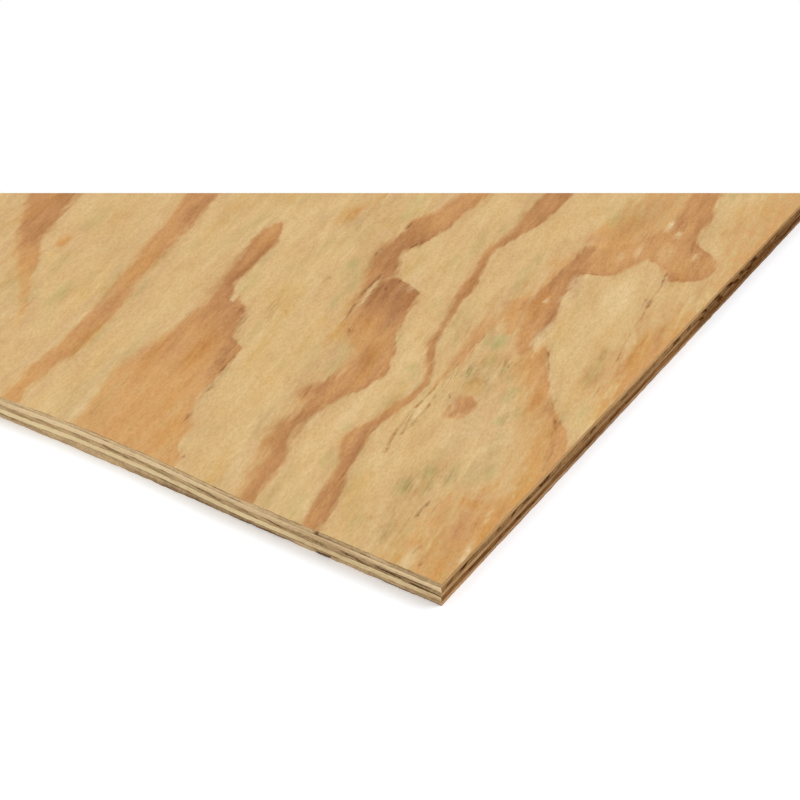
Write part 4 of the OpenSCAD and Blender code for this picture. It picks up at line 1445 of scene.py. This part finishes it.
def dress(piece, layer, low, high, top, bottom, drawn=None, reach=(0, 0)):
    """Gives the flat sides, the edges and the drawn corner of a slab their materials."""
    short = sawn_edge(layer, SHORT_EDGES[layer], low, high, along_x=False)
    long = sawn_edge(layer, LONG_EDGES[layer], low, high, along_x=True)
    for material in (top, bottom, short, long, drawn):
        if material:
            piece.data.materials.append(material)
    for face in piece.data.polygons:
        across = [abs(part) for part in face.normal]
        axis = across.index(max(across))
        spot = face.center - CORNER
        if axis < 2:
            face.material_index = (SHORT, LONG)[axis]
        elif face.normal.z < 0:
            face.material_index = BOTTOM
        elif drawn and spot.x < reach[0] and spot.y < reach[1]:
            face.material_index = DRAWN
        else:
            face.material_index = TOP


# Arrises that turn by more than this stay sharp
SHARP_ARRIS = math.radians(35)


def place_piece(piece, node):
    """Shades a finished piece, hides the CAD part that it stands for, and says what carries it."""
    select_only(piece)
    bpy.ops.object.shade_smooth_by_angle(angle=SHARP_ARRIS)
    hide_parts(node)
    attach(piece, "root")


def smooth_row(rows, along):
    """A band's near side, far side and depth at a distance along the long edge, on a smooth curve."""
    index = max(i for i, row in enumerate(rows[:-1]) if row[0] <= along)
    before, after = rows[index], rows[index + 1]
    first, last = rows[max(index - 1, 0)], rows[min(index + 2, len(rows) - 1)]
    step = after[0] - before[0]
    part = (along - before[0]) / step
    result = []
    for column in (1, 2, 3):
        lift = (after[column] - first[column]) / (after[0] - first[0]) * step
        fall = (last[column] - before[column]) / (last[0] - before[0]) * step
        rest = after[column] - before[column]
        curve = (lift + fall - 2 * rest) * part + 3 * rest - 2 * lift - fall
        result.append(before[column] + (lift + curve * part) * part)
    return result


def bands_at(along):
    """The bands near a line across the sheet, how many levels past its ends each is, and its row there."""
    found = []
    for band in FACE_BANDS:
        held = min(max(along, band.rows[0][0]), band.rows[-1][0])
        past = abs(along - held) * END_FALL
        if past < LEVEL_LIMIT:
            found.append((band, past, *smooth_row(band.rows, held)))
    return found


def band_at(bands, over, across):
    """The band that covers one place best, in the main layer or the one over it: its level and depth there,
    and how far across it the place lies."""
    best = (-LEVEL_LIMIT, 0.0, 0.0)
    for band, past, near, far, depth in bands:
        level = min((across - near) / band.soft_near, (far - across) / band.soft_far) - past
        if band.over == over and level > best[0]:
            share = (across - near) / max(far - near, NARROWEST_BAND)
            best = (min(level, LEVEL_LIMIT), depth, min(max(share, 0.0), 1.0))
    return best


def marks_at(along):
    """The marks of each kind near a line across the sheet."""
    found = {}
    for kind, rows in FACE_MARKS.items():
        marks = [Mark(*row) for row in rows]
        found[kind] = [
            mark for mark in marks if abs(along - mark.along) < mark.half_length + mark.half_width]
    return found


def mark_at(marks, along, across):
    """The strongest of some marks at one place."""
    strongest = 0.0
    cos, sin = math.cos(GRAIN_TILT), math.sin(GRAIN_TILT)
    for mark in marks:
        dx, dy = along - mark.along, across - mark.across
        reach = math.hypot((dx * cos + dy * sin) / mark.half_length, (dy * cos - dx * sin) / mark.half_width)
        if reach < 1:
            fade = min((1 - reach) / MARK_FADE, 1)
            strongest = max(strongest, mark.strength * eased(fade))
    return strongest


# How far below the top and past the figure's reach a vertex may lie to take the figure
BELOW_TOP = 0.5 * MM
PAST_REACH = 1 * MM


def paint_figure(piece, top, reach):
    """Writes the drawn figure and its marks on the vertices of the grid, as attributes."""
    painted = {name: [] for name in ("main_band", "over_band", *MARK_CARRIERS)}
    columns = {}
    for vert in piece.data.vertices:
        place = vert.co - CORNER
        spot = place / MM
        bands, marks = [], {kind: [] for kind in FACE_MARKS}
        in_reach = place.x < reach[0] + PAST_REACH and place.y < reach[1] + PAST_REACH
        if in_reach and vert.co.z > top - BELOW_TOP:
            column = round(spot.x, 1)
            if column not in columns:
                columns[column] = (bands_at(column), marks_at(column))
            bands, marks = columns[column]
        painted["main_band"] += band_at(bands, False, spot.y)
        painted["over_band"] += band_at(bands, True, spot.y)
        for name, kinds in MARK_CARRIERS.items():
            painted[name] += [mark_at(marks[kind], spot.x, spot.y) for kind in kinds]
    for name, values in painted.items():
        piece.data.attributes.new(name, "FLOAT_VECTOR", "POINT").data.foreach_set("vector", values)


# The seeds of the wood in the two outer veneers
FACE_SEED = 2
BACK_SEED = 41


def glued_face(layer, finishes):
    """The side of a veneer that is glued to the next one."""
    return mottled(f"{layer}_glued", GLUE_LUMPS, finishes.glue_dark, finishes.glue_pale, GLUE_SURFACE)


class PLYWOOD_OT_face_veneer(bpy.types.Operator):
    """Adds the face veneer, with the drawn figure at its corner"""

    bl_idname = "plywood.face_veneer"
    bl_label = "Face veneer"

    def execute(self, context):
        sizes = context.scene.plywood_sizes
        finishes = context.scene.plywood_finishes
        reach = sizes.figure_reach()
        piece, low, high = veneer_slab("face_ply", "face_veneer", sizes, figured=True)
        paint_figure(piece, high.z, reach)
        drawn = pine_veneer("pine_corner", finishes, FACE_SEED, cornered=True, drawn=True)
        flat = pine_veneer("pine_face", finishes, FACE_SEED, cornered=True)
        dress(piece, "face", low, high, flat, glued_face("face", finishes), drawn, reach)
        roughen(piece, "face", low, high, sizes)
        set_back(piece, low, high, sizes)
        place_piece(piece, "face_veneer")
        return {"FINISHED"}


class PLYWOOD_OT_crossbands(bpy.types.Operator):
    """Adds the two crossbands, whose grain runs across the sheet"""

    bl_idname = "plywood.crossbands"
    bl_label = "Crossbands"

    def execute(self, context):
        sizes = context.scene.plywood_sizes
        for layer in ("upper", "lower"):
            node = f"{layer}_crossband"
            piece, low, high = veneer_slab(f"{layer}_crossband_ply", node, sizes)
            glued = glued_face(layer, context.scene.plywood_finishes)
            dress(piece, layer, low, high, glued, glued)
            roughen(piece, layer, low, high, sizes)
            set_back(piece, low, high, sizes)
            place_piece(piece, node)
        return {"FINISHED"}


class PLYWOOD_OT_centre_veneer(bpy.types.Operator):
    """Adds the centre veneer"""

    bl_idname = "plywood.centre_veneer"
    bl_label = "Centre veneer"

    def execute(self, context):
        sizes = context.scene.plywood_sizes
        piece, low, high = veneer_slab("centre_ply", "centre_veneer", sizes)
        glued = glued_face("centre", context.scene.plywood_finishes)
        dress(piece, "centre", low, high, glued, glued)
        roughen(piece, "centre", low, high, sizes)
        set_back(piece, low, high, sizes)
        place_piece(piece, "centre_veneer")
        return {"FINISHED"}


class PLYWOOD_OT_back_veneer(bpy.types.Operator):
    """Adds the back veneer, with the knothole at its sawn edge"""

    bl_idname = "plywood.back_veneer"
    bl_label = "Back veneer"

    def execute(self, context):
        sizes = context.scene.plywood_sizes
        finishes = context.scene.plywood_finishes
        piece, low, high = veneer_slab("back_ply", "back_veneer", sizes)
        flat = pine_veneer("pine_back", finishes, BACK_SEED)
        dress(piece, "back", low, high, glued_face("back", finishes), flat)
        roughen(piece, "back", low, high, sizes)
        set_back(piece, low, high, sizes, sizes.set_back_foot)
        cut_knothole(piece, low, high, sizes)
        bark = mottled("knot_wall", BARK_LUMPS, finishes.bark_dark, finishes.bark_pale, BARK_SURFACE)
        line_knothole(piece, high, sizes, bark)
        place_piece(piece, "back_veneer")
        return {"FINISHED"}


def background_ray(graph):
    """1 for a ray that shows the background, straight away or by way of gloss or glass."""
    camera, glossy, transmission = (
        graph.node("ShaderNodeLightPath", {}, {}, output=name)
        for name in ("Is Camera Ray", "Is Glossy Ray", "Is Transmission Ray"))
    return camera.greater(glossy).greater(transmission)


def white_world(sky):
    """Even white light all round, and a white background behind the floor."""
    graph = Graph(bpy.data.worlds.new("studio"))
    shown = background_ray(graph)
    strength = graph.node("ShaderNodeMix", {}, {MIX_FACTOR: shown, MIX_NUMBERS[0]: sky, MIX_NUMBERS[1]: 1.0})
    background = graph.node("ShaderNodeBackground", {}, {"Color": (*WHITE, 1.0), "Strength": strength})
    graph.node("ShaderNodeOutputWorld", {}, {"Surface": background})
    return graph.owner


def floor_material(stage):
    """White card: it takes the sheet's shadow, and is bright enough to show white where it is lit."""
    graph = Graph(bpy.data.materials.new("floor_card"))
    shown = background_ray(graph)
    glow = {index: shown * part for index, part in enumerate(stage.floor_glow)}
    extra = graph.node("ShaderNodeCombineColor", {}, glow)
    card = graph.node("ShaderNodeBsdfDiffuse", {}, {"Color": (*stage.floor_card, 1.0)})
    bright = graph.node("ShaderNodeBsdfDiffuse", {}, {"Color": extra})
    both = graph.node("ShaderNodeAddShader", {}, {0: card, 1: bright})
    graph.node("ShaderNodeOutputMaterial", {}, {"Surface": both})
    return graph.owner


class PLYWOOD_OT_stage(bpy.types.Operator):
    """Adds the floor, the light and the camera"""

    bl_idname = "plywood.stage"
    bl_label = "Stage"

    def far_clip(self, stage, back):
        """The depth at which the picture crops the sheet, along one row of the picture."""
        climb = (1 / 2 - CROP_ROW / PICTURE_ROWS) * stage.sensor / stage.lens
        drop = back.z - climb * math.cos(stage.elevation)
        return (stage.distance * back.z + stage.target[2] - SHEET_HIGH.z) / drop

    def execute(self, context):
        scene = context.scene
        stage = scene.plywood_stage
        scene.view_settings.view_transform = "Standard"
        scene.world = white_world(stage.sky)

        bpy.ops.object.select_all(action="DESELECT")
        bpy.ops.mesh.primitive_plane_add(size=stage.floor_size, location=(0, 0, SHEET_LOW.z))
        floor = context.object
        floor.name = "floor"
        floor.data.materials.append(floor_material(stage))

        towards_lamp = Vector(stage.lamp_direction)
        bpy.ops.object.light_add(type="SUN", location=towards_lamp * stage.distance)
        lamp = context.object
        lamp.data.energy = stage.lamp
        lamp.data.angle = stage.lamp_angle
        lamp.rotation_euler = towards_lamp.to_track_quat("Z", "Y").to_euler()

        back = Vector((
            math.sin(stage.azimuth) * math.cos(stage.elevation),
            -math.cos(stage.azimuth) * math.cos(stage.elevation),
            math.sin(stage.elevation)))
        bpy.ops.object.camera_add(location=CORNER + Vector(stage.target) + back * stage.distance)
        camera = context.object
        camera.data.lens = stage.lens
        camera.data.sensor_width = stage.sensor
        camera.rotation_euler = back.to_track_quat("Z", "Y").to_euler()
        camera.data.clip_end = self.far_clip(stage, back)
        scene.camera = camera
        return {"FINISHED"}


class PLYWOOD_PT_panel(bpy.types.Panel):
    """Lists the pieces of the sheet and their settings"""

    bl_idname = "PLYWOOD_PT_panel"
    bl_label = "Plywood sheet"
    bl_space_type = "VIEW_3D"
    bl_region_type = "UI"
    bl_category = "Plywood"

    def draw(self, context):
        layout = self.layout
        for operator in OPERATORS:
            layout.operator(operator.bl_idname)
        for name in SETTINGS:
            group = getattr(context.scene, name)
            box = layout.box()
            for setting in group.__annotations__:
                box.prop(group, setting)


OPERATORS = (
    PLYWOOD_OT_back_veneer,
    PLYWOOD_OT_crossbands,
    PLYWOOD_OT_centre_veneer,
    PLYWOOD_OT_face_veneer,
    PLYWOOD_OT_stage,
)
SETTINGS = {
    "plywood_sizes": PlywoodSizes,
    "plywood_finishes": PlywoodFinishes,
    "plywood_stage": PlywoodStage,
}
CLASSES = (*SETTINGS.values(), *OPERATORS, PLYWOOD_PT_panel)


def register():
    for part in CLASSES:
        bpy.utils.register_class(part)
    for name, group in SETTINGS.items():
        setattr(bpy.types.Scene, name, bpy.props.PointerProperty(type=group))


def unregister():
    for name in SETTINGS:
        delattr(bpy.types.Scene, name)
    for part in reversed(CLASSES):
        bpy.utils.unregister_class(part)


def main():
    register()
    bpy.ops.plywood.back_veneer()
    bpy.ops.plywood.crossbands()
    bpy.ops.plywood.centre_veneer()
    bpy.ops.plywood.face_veneer()
    bpy.ops.plywood.stage()
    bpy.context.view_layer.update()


if __name__ == "__main__":
    main()
